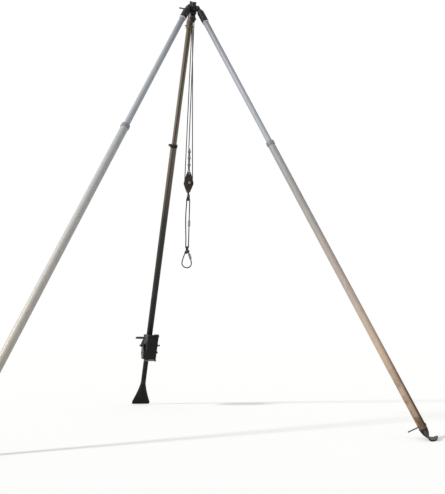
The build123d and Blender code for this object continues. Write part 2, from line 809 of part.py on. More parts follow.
# The lead line is the outer common tangent of the lead sheave and the drum's outer layer
wind_radius = drum_core_d / 2 + rope_r + rope_seat
wind_end_u = drum_turns * turn_pitch / 2
drum_axis = leg_point(rear, 0, drum_out, drum_along) - head
reach = Vector(drum_axis.Y, drum_axis.Z - upper_axle_at)
lean = asin((upper_pitch_radius - wind_radius) / reach.length)
forward = reach.normalized()
lead_normal = forward * sin(lean) + Vector(-forward.Y, forward.X) * cos(lean)
lead_heading = Vector(lead_normal.Y, -lead_normal.X)
lead_turn = 90 - degrees(atan2(lead_heading.Y, lead_heading.X))

with BuildPart() as upper_turns:
    for x, turn in ((gap_middle, 180.0), (-gap_middle, lead_turn)):
        with BuildLine(depth_plane(x)) as turn_line:
            rise = Line(
                (-upper_pitch_radius, upper_axle_at - rope_lead_in),
                (-upper_pitch_radius, upper_axle_at),
            )
            over = JernArc(start=rise @ 1, tangent=rise % 1, radius=upper_pitch_radius, arc_size=-turn)
            Line(over @ 1, over @ 1 + (over % 1) * rope_lead_in)
        sweep_rope(turn_line, rope_d)
save(upper_turns, "upper_rope_turns")

# On the lower block: the turn under its sheave, and the dead end that goes round the thimble and back up
eye_x = (rope_d + eye_leg_gap) / 2
eye = radians(eye_angle)
bend_x = eye_x + eye_bend * (1 - cos(eye))
eye_run = (thimble_rope_radius * cos(eye) - bend_x) / sin(eye)
bend_z = becket_at + thimble_rope_radius * sin(eye) + eye_run * cos(eye)
with BuildPart() as lower_turns:
    with BuildLine(width_plane(0)) as under_line:
        enter = Line(
            (-lower_pitch_radius, lower_axle_at + rope_lead_in),
            (-lower_pitch_radius, lower_axle_at),
        )
        under = JernArc(start=enter @ 1, tangent=enter % 1, radius=lower_pitch_radius, arc_size=180)
        Line(under @ 1, under @ 1 + (under % 1) * rope_lead_in)
    sweep_rope(under_line, rope_d)
    with BuildLine(width_plane(0)) as eye_line:
        main = Line((-eye_x, becket_at + eye_length), (-eye_x, bend_z + eye_bend * sin(eye)))
        part_bend = JernArc(start=main @ 1, tangent=main % 1, radius=eye_bend, arc_size=-eye_angle)
        down_run = Line(part_bend @ 1, part_bend @ 1 + (part_bend % 1) * eye_run)
        round_eye = JernArc(
            start=down_run @ 1, tangent=down_run % 1, radius=thimble_rope_radius, arc_size=180 + 2 * eye_angle
        )
        up_run = Line(round_eye @ 1, round_eye @ 1 + (round_eye % 1) * eye_run)
        meet_bend = JernArc(start=up_run @ 1, tangent=up_run % 1, radius=eye_bend, arc_size=-eye_angle)
        Line(meet_bend @ 1, meet_bend @ 1 + up * (becket_at + tail_length - (meet_bend @ 1).Z))
    sweep_rope(eye_line, rope_d)
save(lower_turns, "lower_rope_turns")

with BuildPart() as clips:
    for z in [becket_at + rise for rise in clip_rises]:
        clip_plane = Plane(head + up * (z - clip_length / 2))
        with BuildSketch(clip_plane):
            RectangleRounded(4 * eye_x + rope_d, 2 * rope_d, rope_r)
            with Locations((-eye_x, 0), (eye_x, 0)):
                Circle(rope_r + seat, mode=Mode.SUBTRACT)
        extrude(amount=clip_length)
        for x in (-1.5 * eye_x - rope_r / 2, 1.5 * eye_x + rope_r / 2):
            with BuildSketch(width_plane(-rope_d)):
                with Locations((x, z)):
                    RegularPolygon(rope_r, 6)
            extrude(amount=rope_r)
save(clips, "rope_clips")

# Three falls between the blocks, each clear of the turns it joins
fall_bottom = lower_axle_at + rope_lead_in
fall_top = upper_axle_at - rope_lead_in
falls = (
    (Vector(-eye_x, 0, becket_at + eye_length), Vector(gap_middle, -upper_pitch_radius, fall_top)),
    (Vector(lower_pitch_radius, 0, fall_bottom), Vector(gap_middle, upper_pitch_radius, fall_top)),
    (Vector(-lower_pitch_radius, 0, fall_bottom), Vector(-gap_middle, -upper_pitch_radius, fall_top)),
)
with BuildPart() as hoist_falls:
    for low, high in falls:
        step = (high - low).normalized() * rope_joint
        rod(head + low + step, head + high - step, rope_d)
save(hoist_falls, "hoist_falls")

# Lead line, in two lengths that meet beside the rear collar
lead_side = radial(rear) * lead_normal.X + up * lead_normal.Y
lead_top = upper_axle + across(rear) * gap_middle + lead_side * upper_pitch_radius
lead_foot = leg_point(rear, wind_end_u, drum_out, drum_along) + lead_side * wind_radius
lead_way = (lead_foot - lead_top).normalized()
lead_top_along = (lead_top - leg_point(rear, 0, 0, 0)).dot(along(rear))
lead_split = lead_top + lead_way * (collar_at["rear"] - lead_top_along)
lead_start = lead_top + lead_way * (rope_lead_in + rope_joint)
lead_stop = lead_foot - lead_way * (rope_d + rope_joint)
for lead_name, ends in (
    ("lead_line_upper", (lead_start, lead_split)),
    ("lead_line_lower", (lead_split + lead_way * rope_joint, lead_stop)),
):
    with BuildPart() as lead:
        rod(*ends, rope_d)
    save(lead, lead_name)


# Winch
plate_inner = plate_span / 2
plate_outer = plate_inner + plate_thickness
centre_distance = gear_module * (gear_teeth + pinion_teeth) / 2
pinion_along = drum_along - centre_distance
plate_corners = (
    (plate_near, plate_top),
    (plate_far, plate_far_top),
    (plate_far, plate_bottom),
    (plate_near, plate_bottom),
)
rod_v = plate_far + guard_inset + guard_sheet + tie_rod_inset
rod_places = ((rod_v, plate_far_top + rod_v - plate_far + tie_rod_inset), (rod_v, plate_bottom - tie_rod_inset))
pawl_angle = radians(pawl_pivot_angle)
pawl_pivot = (
    drum_out + pawl_pivot_distance * cos(pawl_angle),
    pinion_along + pawl_pivot_distance * sin(pawl_angle),
)
shafts = ((drum_along, drum_shaft_d), (pinion_along, pinion_shaft_d))

with BuildPart() as side_plates:
    for u in (-plate_outer, plate_inner):
        with BuildSketch(side_plane(rear, u)) as plate:
            with BuildLine():
                Polyline(*plate_corners, close=True)
            make_face()
            fillet(plate.vertices(), radius=plate_corner)
            for w, diameter in shafts:
                with Locations((drum_out, w)):
                    Circle(diameter / 2 + bush_wall + seat, mode=Mode.SUBTRACT)
            with Locations(*rod_places):
                Circle(tie_rod_d / 2 + seat, mode=Mode.SUBTRACT)
            if u < 0:
                with Locations(pawl_pivot):
                    Circle(pawl_pin_d / 2 + seat, mode=Mode.SUBTRACT)
        extrude(amount=plate_thickness)
    guard_from = plate_far_top + guard_from_top
    guard_to = rod_places[1][1] - tie_rod_spacer_d / 2 - guard_from_rod
    with BuildSketch(face_plane(rear, plate_far + guard_inset + guard_sheet)):
        with Locations((0, (guard_from + guard_to) / 2)):
            Rectangle(plate_span - 2 * seat, guard_to - guard_from)
    extrude(amount=guard_sheet)
save(side_plates, "winch_side_plates")

ratchet_u = -plate_outer - gear_stand_off - ratchet_width
with BuildPart() as winch_rods:
    for v, w in rod_places:
        for half, size in ((plate_inner, tie_rod_spacer_d), (plate_outer, tie_rod_d)):
            with BuildSketch(side_plane(rear, -half, v, w)):
                Circle(size / 2)
            extrude(amount=2 * half)
        for u in (-plate_outer - tie_rod_d * bolt_head, plate_outer):
            with BuildSketch(side_plane(rear, u, v, w)):
                RegularPolygon(tie_rod_d * hexagon, 6)
            extrude(amount=tie_rod_d * bolt_head)
    with BuildSketch(side_plane(rear, -plate_inner, *pawl_pivot)):
        Circle(pawl_pin_d / 2)
    extrude(amount=ratchet_u - side_gap + plate_inner)
    with BuildSketch(side_plane(rear, ratchet_u - side_gap, *pawl_pivot)):
        Circle(pawl_pin_head_d / 2)
    extrude(amount=-pawl_pin_head)
save(winch_rods, "winch_rods")

with BuildPart() as bushes:
    for w, diameter in shafts:
        for side in (-1, 1):
            inner = side_plane(rear, side * (plate_inner - bush_flange), drum_out, w)
            with BuildSketch(inner):
                Circle(diameter / 2 + bush_wall)
                Circle(diameter / 2 + running, mode=Mode.SUBTRACT)
            extrude(amount=side * (plate_thickness + bush_flange))
            with BuildSketch(inner):
                Circle(diameter / 2 + 2 * bush_wall)
                Circle(diameter / 2 + running, mode=Mode.SUBTRACT)
            extrude(amount=side * bush_flange)
save(bushes, "winch_bushes")

bar_places = (plate_top + bar_inset, plate_bottom - bar_inset)
u_bolt_u = lower_tube_d / 2 + tube_seat + u_bolt_d / 2
bar_face = -lower_tube_d / 2 - tube_seat
u_bolt_tail = bar_thickness + u_bolt_d * nut_height + u_bolt_end - bar_face
with BuildPart() as mount_bars:
    for w in bar_places:
        with BuildSketch(face_plane(rear, bar_face, w=w)):
            Rectangle(plate_span, bar_height)
            with Locations((-u_bolt_u, 0), (u_bolt_u, 0)):
                Circle(u_bolt_d / 2 + seat, mode=Mode.SUBTRACT)
        extrude(amount=bar_thickness)
save(mount_bars, "winch_mount_bars")

with BuildPart() as u_bolts:
    for w in bar_places:
        with BuildLine(cross_plane(rear, w)) as u_line:
            arm = Line((-u_bolt_u, -u_bolt_tail), (-u_bolt_u, 0))
            bow = JernArc(start=arm @ 1, tangent=arm % 1, radius=u_bolt_u, arc_size=-180)
            Line(bow @ 1, bow @ 1 + (bow % 1) * u_bolt_tail)
        sweep_rope(u_line, u_bolt_d)
        for side in (-1, 1):
            nut_at(face_plane(rear, bar_face - bar_thickness, u=side * u_bolt_u, w=w), u_bolt_d)
save(u_bolts, "winch_u_bolts")

half_drum = drum_inner_width / 2
with BuildPart() as drum:
    for u, length, diameter in (
        (-half_drum - drum_flange, drum_flange, drum_flange_d),
        (-half_drum, drum_inner_width, drum_barrel_d),
        (half_drum, drum_flange, drum_flange_d),
    ):
        with BuildSketch(side_plane(rear, u, drum_out, drum_along)):
            Circle(diameter / 2)
            Circle(drum_shaft_d / 2 + seat, mode=Mode.SUBTRACT)
        extrude(amount=length)
save(drum, "winch_drum")

with BuildPart() as core:
    with BuildSketch(side_plane(rear, -half_drum + side_gap, drum_out, drum_along)):
        Circle(drum_core_d / 2)
        Circle(drum_barrel_d / 2 + seat, mode=Mode.SUBTRACT)
    extrude(amount=drum_inner_width - 2 * side_gap)
save(core, "drum_rope_core")


# Outer layer on the drum: one tube, each half turn a pair of arcs
def wind_point(turn):
    angle = wind_exit + 2 * pi * (drum_turns - turn)
    v = drum_out + wind_radius * cos(angle)
    w = drum_along + wind_radius * sin(angle)
    return leg_point(rear, -wind_end_u + turn_pitch * turn, v, w)


def wind_tangent(turn):
    angle = wind_exit + 2 * pi * (drum_turns - turn)
    spin = outward(rear) * sin(angle) - along(rear) * cos(angle)
    return (spin * 2 * pi * wind_radius + across(rear) * turn_pitch).normalized()


wind_exit = atan2(lead_side.dot(along(rear)), lead_side.dot(outward(rear)))
with BuildPart() as drum_rope:
    with BuildLine() as wind_line:
        first = wind_point(0)
        Line(first - wind_tangent(0) * rope_d, first)
        for half_turn in range(2 * drum_turns):
            p0, p1 = wind_point(half_turn / 2), wind_point((half_turn + 1) / 2)
            t0, t1 = wind_tangent(half_turn / 2), wind_tangent((half_turn + 1) / 2)
            chord, sum_t = p1 - p0, t0 + t1
            a = 4 - sum_t.dot(sum_t)
            b = chord.dot(sum_t)
            handle = (sqrt(b * b + a * chord.dot(chord)) - b) / a
            joint = (p0 + t0 * handle + p1 - t1 * handle) * 0.5
            TangentArc(p0, joint, tangent=t0)
            TangentArc(joint, p1, tangent=p1 - t1 * handle - p0 - t0 * handle)
        last = wind_point(drum_turns)
        Line(last, last + wind_tangent(drum_turns) * rope_d)
    sweep_rope(wind_line, rope_d)
save(drum_rope, "drum_rope_turns")

samples = [wind_point(k / 48) for k in range(48 * drum_turns + 1)]
pairs = [(a, b) for i, a in enumerate(samples) for b in samples[i + 24 :]]
apart = min((a - b).length for a, b in pairs)
print(f"drum turns: {drum_turns}, least gap between them {apart - rope_d:.2f} mm")

with BuildPart() as drum_shaft:
    with BuildSketch(side_plane(rear, -plate_outer - shaft_end, drum_out, drum_along)):
        Circle(drum_shaft_d / 2)
    extrude(amount=2 * (plate_outer + shaft_end))
save(drum_shaft, "drum_shaft")


# A spur gear's outline, each flank from the root to the base circle and on along the involute
def gear_points(teeth, phase):
    pitch_r = gear_module * teeth / 2
    base_r = pitch_r * cos(radians(pressure_angle))
    root_r = pitch_r - tooth_dedendum * gear_module
    tip_r = pitch_r + tooth_addendum * gear_module
    half_pitch = (pi * gear_module / 2 - tooth_backlash) / 2 / pitch_r

    def half_angle(r):
        at = acos(min(1.0, base_r / r))
        at_pitch = radians(pressure_angle)
        return half_pitch + tan(at_pitch) - at_pitch - tan(at) + at

    radii = [root_r, max(base_r, root_r + seat), (base_r + tip_r) / 2, pitch_r + gear_module / 3, tip_r]
    flank = [(r, half_angle(max(r, base_r))) for r in radii]
    points = []
    for tooth in range(teeth):
        middle = radians(phase) + 2 * pi * tooth / teeth
        for sign, rows in ((-1, flank), (1, flank[::-1])):
            points += [(r * cos(middle + sign * h), r * sin(middle + sign * h)) for r, h in rows]
    return points


gear_u = plate_outer + gear_stand_off
with BuildPart() as drum_gear:
    with BuildSketch(side_plane(rear, gear_u, drum_out, drum_along)):
        with BuildLine():
            Polyline(*gear_points(gear_teeth, 180 / gear_teeth - 90), close=True)
        make_face()
        Circle(drum_shaft_d / 2 + seat, mode=Mode.SUBTRACT)
    extrude(amount=gear_width)
save(drum_gear, "drum_gear")

square_from = gear_u + gear_width + gear_stand_off
crank_at = square_from + crank_stand_off
crank_end = crank_at + crank_thickness + shaft_end / 2
shaft_right = -plate_outer - shaft_end
with BuildPart() as pinion:
    with BuildSketch(side_plane(rear, shaft_right, drum_out, pinion_along)):
        Circle(pinion_shaft_d / 2)
    extrude(amount=square_from - shaft_right)
    with BuildSketch(side_plane(rear, gear_u, drum_out, pinion_along)):
        with BuildLine():
            Polyline(*gear_points(pinion_teeth, 90), close=True)
        make_face()
    extrude(amount=gear_width)
    for u, length in ((square_from, crank_end - square_from), (shaft_right, -shaft_end / 2)):
        with BuildSketch(side_plane(rear, u, drum_out, pinion_along)):
            Rectangle(square_end, square_end)
        extrude(amount=length)
save(pinion, "pinion_shaft")

with BuildPart() as ratchet:
    with BuildSketch(side_plane(rear, ratchet_u, drum_out, pinion_along)):
        with BuildLine():
            steps = [2 * pi * k / ratchet_teeth for k in range(ratchet_teeth)]
            lean_back = ratchet_lean * 2 * pi / ratchet_teeth
            low_r = ratchet_radius - ratchet_depth
            teeth_points = []
            for turn in steps:
                teeth_points += [(ratchet_radius * cos(turn), ratchet_radius * sin(turn))]
                teeth_points += [(low_r * cos(turn + lean_back), low_r * sin(turn + lean_back))]
            Polyline(*teeth_points, close=True)
        make_face()
        Circle(pinion_shaft_d / 2 + seat, mode=Mode.SUBTRACT)
    extrude(amount=ratchet_width)
save(ratchet, "ratchet_wheel")

# Pawl: rides on the ratchet's crests and swings away from them on its pin
tip_angle = radians(pawl_tip_angle)
tip_r = ratchet_radius + pawl_clearance + pawl_tip_width / 2
tip_place = (drum_out + tip_r * cos(tip_angle), pinion_along + tip_r * sin(tip_angle))
with BuildPart() as pawl:
    with BuildSketch(side_plane(rear, ratchet_u)):
        with Locations(pawl_pivot):
            Circle(pawl_boss_d / 2)
        with Locations(tip_place):
            Circle(pawl_tip_width / 2)
        make_hull()
        with Locations((drum_out, pinion_along)):
            Circle(ratchet_radius + pawl_clearance, mode=Mode.SUBTRACT)
        with Locations(pawl_pivot):
            Circle(pawl_pin_d / 2 + running, mode=Mode.SUBTRACT)
    extrude(amount=ratchet_width)
save(pawl, "pawl")

crank_turn = radians(crank_angle)
grip_along = (drum_out - crank_reach * cos(crank_turn), pinion_along - crank_reach * sin(crank_turn))
grip_from = crank_at + crank_thickness + side_gap
with BuildPart() as crank:
    with BuildSketch(side_plane(rear, crank_at)):
        with Locations((drum_out, pinion_along)):
            Circle(crank_hub_d / 2)
        with Locations(grip_along):
            Circle(crank_width / 2)
        make_hull()
        with Locations((drum_out, pinion_along)):
            Rectangle(square_end + 2 * seat, square_end + 2 * seat, mode=Mode.SUBTRACT)
    extrude(amount=crank_thickness)
    with BuildSketch(side_plane(rear, crank_at + crank_thickness, *grip_along)):
        Circle(spindle_d / 2)
    extrude(amount=grip_length + 2 * side_gap)
    with BuildSketch(side_plane(rear, grip_from + grip_length + side_gap, *grip_along)):
        Circle(grip_end_d / 2)
    extrude(amount=grip_end)
save(crank, "crank_arm")

with BuildPart() as grip:
    with BuildSketch(side_plane(rear, grip_from, *grip_along)):
        Circle(grip_d / 2)
        Circle(spindle_d / 2 + running, mode=Mode.SUBTRACT)
    extrude(amount=grip_length)
    fillet(grip.edges().filter_by(GeomType.CIRCLE).group_by(SortBy.RADIUS)[-1], radius=grip_edge)
save(grip, "crank_grip")


# Sling: a strop from the hook to the choker shackle, and the open noose below it
sling_r = sling_rope_d / 2
saddle_radius = hook_bar_d / 2 + sling_r + rope_seat
bow_radius = shackle_bar_d / 2 + sling_r + rope_seat
pin_radius = shackle_pin_d / 2 + sling_r + rope_seat


# Where a tight loop round two bars, one above the other, leaves them on its +X side
def loop_side(top_z, top_r, low_z, low_r):
    tilt = asin((top_r - low_r) / (top_z - low_z))
    top = head + Vector(top_r * cos(tilt), 0, top_z - top_r * sin(tilt))
    low = head + Vector(low_r * cos(tilt), 0, low_z - low_r * sin(tilt))
    return top, low, degrees(tilt)


def ferrule(middle, way):
    with BuildSketch(Plane(middle - way * ferrule_length / 2, z_dir=way)) as ring:
        Circle(ferrule_d / 2)
        Circle(sling_r + seat, mode=Mode.SUBTRACT)
    extrude(ring.sketch, amount=ferrule_length)


strop_top, strop_low, strop_tilt = loop_side(saddle_at, saddle_radius, bow_at, bow_radius)
strop_way = (strop_top - strop_low).normalized()
strop_middle = (strop_top + strop_low) * 0.5
with BuildPart() as strop:
    with BuildLine(width_plane(0)) as strop_line:
        climb = Line(strop_middle + strop_way * rope_joint, strop_top)
        wrap = 180 + strop_tilt
        over_hook = JernArc(start=climb @ 1, tangent=climb % 1, radius=saddle_radius, arc_size=wrap)
        slack = [head + Vector(x, 0, saddle_at - drop) for x, drop in strop_slack]
        bow_side = head + Vector(-bow_radius, 0, bow_at)
        slack = [over_hook @ 1 - up * strop_straight, *slack, bow_side + up * strop_straight]
        strand = [over_hook @ 1, *slack, bow_side]
        runs = [b - a for a, b in zip(strand, strand[1:])]
        radii = []
        for before, after in zip(runs, runs[1:]):
            shorter = min(before.length, after.length)
            radii.append(strop_ease * shorter / tan(radians(before.get_angle(after) / 2)))
        print("strop radii", [round(r) for r in radii])
        FilletPolyline(*strand, radius=radii)
        under_bow = JernArc(start=bow_side, tangent=(0, -1), radius=bow_radius, arc_size=180 - strop_tilt)
        Line(under_bow @ 1, strop_middle - strop_way * rope_joint)
    sweep_rope(strop_line, sling_rope_d)
save(strop, "strop")

noose_top, noose_low, noose_tilt = loop_side(shackle_pin_at, pin_radius, noose_at, noose_radius)
noose_way = (noose_top - noose_low).normalized()
noose_middle = (noose_top + noose_low) * 0.5
with BuildPart() as noose:
    with BuildLine(width_plane(0)) as noose_line:
        side_up = Line(noose_middle + noose_way * rope_joint, noose_top)
        over_pin = JernArc(
            start=side_up @ 1, tangent=side_up % 1, radius=pin_radius, arc_size=180 + 2 * noose_tilt
        )
        side_down = Line(over_pin @ 1, over_pin @ 1 + (over_pin % 1) * (noose_top - noose_low).length)
        belly = JernArc(
            start=side_down @ 1, tangent=side_down % 1, radius=noose_radius, arc_size=180 - 2 * noose_tilt
        )
        Line(belly @ 1, noose_middle - noose_way * rope_joint)
    sweep_rope(noose_line, sling_rope_d)
save(noose, "noose")

with BuildPart() as ferrules:
    for middle, way in ((strop_middle, strop_way), (noose_middle, noose_way)):
        ferrule(middle, way)
save(ferrules, "sling_ferrules")

with BuildPart() as shackle:
    with BuildLine(depth_plane(0)) as bow_line:
        leg_foot = (-shackle_half_width, shackle_pin_at)
        leg_up = Line(leg_foot, (-shackle_half_width, shackle_pin_at + shackle_leg))
        crest = JernArc(start=leg_up @ 1, tangent=leg_up % 1, radius=shackle_half_width, arc_size=-180)
        Line(crest @ 1, crest @ 1 + (crest % 1) * shackle_leg)
    sweep_rope(bow_line, shackle_bar_d)
    for y in (-shackle_half_width, shackle_half_width):
        with BuildSketch(width_plane(y + shackle_eye_width / 2)):
            with Locations((0, shackle_pin_at)):
                Circle(shackle_eye_d / 2)
        extrude(amount=shackle_eye_width)
    with BuildSketch(width_plane(2 * shackle_half_width)):
        with Locations((0, shackle_pin_at)):
            Circle(shackle_pin_d / 2 + seat)
    extrude(amount=4 * shackle_half_width, mode=Mode.SUBTRACT)
    shackle_outer = shackle_half_width + shackle_eye_width / 2 + seat
    start = Plane(head + Vector(0, shackle_outer, shackle_pin_at), x_dir=(1, 0, 0), z_dir=(0, -1, 0))
    bolt_and_nut(start, shackle_pin_d, 2 * shackle_outer)
save(shackle, "choker_shackle")

print(f"head stands at Y {head_y:.1f} mm, leg length {leg_length:.1f} mm, toe reach {toe_reach:.1f} mm")
print(f"gear centres {centre_distance:.1f} mm apart, wind radius {wind_radius:.2f} mm")
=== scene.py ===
import json
import math
import bpy
import numpy as np
from mathutils import Matrix, Vector


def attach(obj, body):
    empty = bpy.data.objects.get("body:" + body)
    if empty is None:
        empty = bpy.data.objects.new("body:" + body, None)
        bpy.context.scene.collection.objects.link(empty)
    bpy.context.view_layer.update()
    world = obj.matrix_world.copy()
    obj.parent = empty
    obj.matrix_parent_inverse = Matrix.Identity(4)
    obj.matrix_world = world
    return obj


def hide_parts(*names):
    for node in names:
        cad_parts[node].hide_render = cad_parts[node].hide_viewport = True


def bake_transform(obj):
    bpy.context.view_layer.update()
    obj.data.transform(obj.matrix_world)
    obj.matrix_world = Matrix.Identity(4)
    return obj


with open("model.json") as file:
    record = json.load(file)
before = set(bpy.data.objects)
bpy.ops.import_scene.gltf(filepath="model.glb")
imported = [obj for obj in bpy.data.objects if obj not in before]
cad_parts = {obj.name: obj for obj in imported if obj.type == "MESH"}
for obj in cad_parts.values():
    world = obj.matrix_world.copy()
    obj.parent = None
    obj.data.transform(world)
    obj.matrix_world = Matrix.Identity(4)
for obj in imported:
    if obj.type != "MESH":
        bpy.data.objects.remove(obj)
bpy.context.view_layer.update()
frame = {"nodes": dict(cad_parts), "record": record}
nodes = frame["nodes"]
scene = bpy.context.scene
scene.view_settings.view_transform = "Standard"
print("frame loaded:", len(nodes), "nodes")

# metres and degrees; the head stands over (0, headY), each leg leans out from its hinge
stance = dict(headY=-0.68063, hingeHeight=5.3, hingeRadius=0.075, lean=27.0, left=210.0, right=-30.0, rear=90.0)


# unit vectors of a leg: across it, outwards from it, down along it
def legAxes(leg):
    turn, lean = math.radians(stance[leg]), math.radians(stance["lean"])
    radial = np.array((math.cos(turn), math.sin(turn), 0.0))
    across = np.array((-math.sin(turn), math.cos(turn), 0.0))
    up = np.array((0.0, 0.0, 1.0))
    return across, radial * math.cos(lean) + up * math.sin(lean), radial * math.sin(lean) - up * math.cos(lean)


# hinge of the leg, plus u across, v outwards and w down the leg
def legPoint(leg, u, v, w):
    across, outward, along = legAxes(leg)
    turn = math.radians(stance[leg])
    hinge = np.array((math.cos(turn), math.sin(turn), 0.0)) * stance["hingeRadius"]
    hinge += (0.0, stance["headY"], stance["hingeHeight"])
    return hinge + across * u + outward * v + along * w


# camera: pinhole fitted to the three leg lines; degrees, metres, focal length and height in picture pixels
view = dict(yaw=3.30, pitch=8.41, roll=0.87, round=14.3, distance=7.579, height=1.049, focal=621.0, tall=494.0,
            sensor=36.0, farthest=200.0)


# turns the view direction by yaw and pitch, then rolls the picture about it
def placeCamera():
    yaw, pitch, roll, swing = (math.radians(view[k]) for k in ("yaw", "pitch", "roll", "round"))
    heading = yaw + swing
    ahead = math.cos(pitch)
    forward = Vector((math.sin(heading) * ahead, math.cos(heading) * ahead, math.sin(pitch)))
    level = Vector((math.cos(heading), -math.sin(heading), 0.0))
    right = level * math.cos(roll) + level.cross(forward) * math.sin(roll)
    top = right.cross(forward)
    spot = Vector((-math.sin(swing), -math.cos(swing), 0.0)) * view["distance"]
    spot += Vector((0.0, stance["headY"], view["height"]))
    lens = bpy.data.cameras.new("camera")
    lens.lens = view["sensor"] * view["focal"] / view["tall"]
    lens.clip_end = view["farthest"]
    body = bpy.data.objects.new("camera", lens)
    scene.collection.objects.link(body)
    body.matrix_world = Matrix((right, top, -forward)).transposed().to_4x4()
    body.matrix_world.translation = spot
    scene.camera = body


placeCamera()
print("camera placed")


# screen colour, 0 to 255, as linear light: a power curve with a straight foot
def shade(*c):
    a = np.array(c, float) / 255.0
    linear = np.where(a > 0.04045, ((a + 0.055) / 1.055) ** 2.4, a / 12.92)
    return tuple(float(x) for x in linear) + (1.0,)


# one shader node: plain values are set on its sockets, sockets are linked
def put(tree, kind, sockets=None, **settings):
    node = tree.nodes.new("ShaderNode" + kind)
    for key, value in settings.items():
        setattr(node, key, value)
    for name, value in (sockets or {}).items():
        if isinstance(value, bpy.types.NodeSocket):
            tree.links.new(value, node.inputs[name])
        else:
            node.inputs[name].default_value = value
    return node


# a new finish: its tree, its shader with these plain values set, and the piece's own coordinates
def startFinish(name, sockets):
    finish = bpy.data.materials.new(name)
    finish.use_nodes = True
    shader = finish.node_tree.nodes["Principled BSDF"]
    for key, value in sockets.items():
        shader.inputs[key].default_value = value
    coords = put(finish.node_tree, "TexCoord").outputs
    return finish, finish.node_tree, shader, coords


# cloudy pattern, stretched by a scale on each axis after a turn
def cloud(tree, coords, scale, detail=4.0, rough=0.55, stretch=(1, 1, 1), turn=(0, 0, 0)):
    way = put(tree, "Mapping", {"Vector": coords, "Scale": stretch, "Rotation": turn}).outputs[0]
    sockets = {"Vector": way, "Scale": scale, "Detail": detail, "Roughness": rough}
    return put(tree, "TexNoise", sockets).outputs["Fac"]


# value through a row of (position, grey or colour) stops
def ramp(tree, value, *stops):
    node = put(tree, "ValToRGB", {"Fac": value})
    marks = node.color_ramp.elements
    while len(marks) < len(stops):
        marks.new(0.5)
    for mark, (position, colour) in zip(marks, stops):
        mark.position = position
        mark.color = colour if isinstance(colour, tuple) else (colour, colour, colour, 1.0)
    return node.outputs["Color"]


# straight mix of two colours by a factor; 6, 7 and 2 are the node's colour sockets
def blendColour(tree, factor, first, second):
    return put(tree, "Mix", {0: factor, 6: first, 7: second}, data_type="RGBA").outputs[2]


# one arithmetic step on two values
def reckon(tree, step, first, second=0.0):
    return put(tree, "Math", {0: first, 1: second}, operation=step).outputs[0]


# how far a rounded normal turns away from the true one: near 1 along edges, 0 on flats
def edgeMask(tree, radius):
    rounded = put(tree, "Bevel", {"Radius": radius}, samples=4).outputs[0]
    true = put(tree, "NewGeometry").outputs["Normal"]
    dot = put(tree, "VectorMath", {0: rounded, 1: true}, operation="DOT_PRODUCT").outputs["Value"]
    return reckon(tree, "MULTIPLY", reckon(tree, "SUBTRACT", 1.0, dot), 4.0)


# bump from a height value, so deep at full height
def roughen(tree, shader, height, strength, depth):
    bump = put(tree, "Bump", {"Height": height, "Strength": strength, "Distance": depth})
    tree.links.new(bump.outputs[0], shader.inputs["Normal"])


# scales of the paint's patterns, in waves per metre; scratches are drawn out by their stretch
paintWear = dict(dust=26.0, grain=120.0, bloom=18.0, bloomReach=4, scratch=11.0, scratchStretch=(9, 260, 230),
                 scratchTurn=(0.5, 0.3, 0.9), specks=210.0, peel=700.0, peelShare=0.25,
                 relief=0.35, depth=0.0004)


# paint: cloudy tone, dust on faces that look up, rusty bloom and chips along edges, scratches, fine orange peel
def paintFinish(name, look):
    finish, tree, shader, coords = startFinish(name, {"Metallic": 0.0, "Specular IOR Level": look["sheen"]})
    place, wear = coords["Object"], paintWear
    clouds = cloud(tree, place, look["cloud"], 6.0, 0.6)
    tone = ramp(tree, clouds, (0.3, shade(*look["dark"])), (0.7, shade(*look["light"])))
    facing = put(tree, "SeparateXYZ", {0: put(tree, "NewGeometry").outputs["Normal"]}).outputs["Z"]
    upward = ramp(tree, facing, (0.2, 0.0), (0.95, look["dust"]))
    dust = reckon(tree, "MULTIPLY", upward, cloud(tree, place, wear["dust"], 5.0, 0.65))
    tone = blendColour(tree, dust, tone, shade(*look["dustTone"]))
    grain = cloud(tree, place, wear["grain"], 6.0, 0.7)
    near = edgeMask(tree, look["edge"] * wear["bloomReach"])
    bloom = reckon(tree, "MULTIPLY", near, cloud(tree, place, wear["bloom"], 6.0, 0.65))
    bloom = ramp(tree, bloom, (0.2, 0.0), (0.6, look["bloom"]))
    tone = blendColour(tree, bloom, tone, shade(*look["bloomTone"]))
    lines = cloud(tree, place, 1.0, 3.0, 0.5, wear["scratchStretch"], wear["scratchTurn"])
    areas = ramp(tree, cloud(tree, place, wear["scratch"]), (0.48, 0.0), (0.6, 1.0))
    scratch = reckon(tree, "MULTIPLY", ramp(tree, lines, (0.66, 0.0), (0.70, 0.7)), areas)
    chipped = reckon(tree, "MULTIPLY", edgeMask(tree, look["edge"]), grain)
    chipped = ramp(tree, chipped, (look["chip"], 0.0), (look["chip"] + 0.1, 1.0))
    specks = ramp(tree, cloud(tree, place, wear["specks"], 3.0, 0.5), (0.72, 0.0), (0.76, look["specks"]))
    bare = reckon(tree, "MAXIMUM", reckon(tree, "MAXIMUM", chipped, specks), scratch)
    tree.links.new(blendColour(tree, bare, tone, shade(*look["metal"])), shader.inputs["Base Color"])
    gloss = ramp(tree, grain, (0.25, look["gloss"][0]), (0.75, look["gloss"][1]))
    tree.links.new(gloss, shader.inputs["Roughness"])
    peel = reckon(tree, "MULTIPLY", cloud(tree, place, wear["peel"], 2.0, 0.5), wear["peelShare"])
    roughen(tree, shader, reckon(tree, "SUBTRACT", peel, bare), wear["relief"], wear["depth"])
    return finish


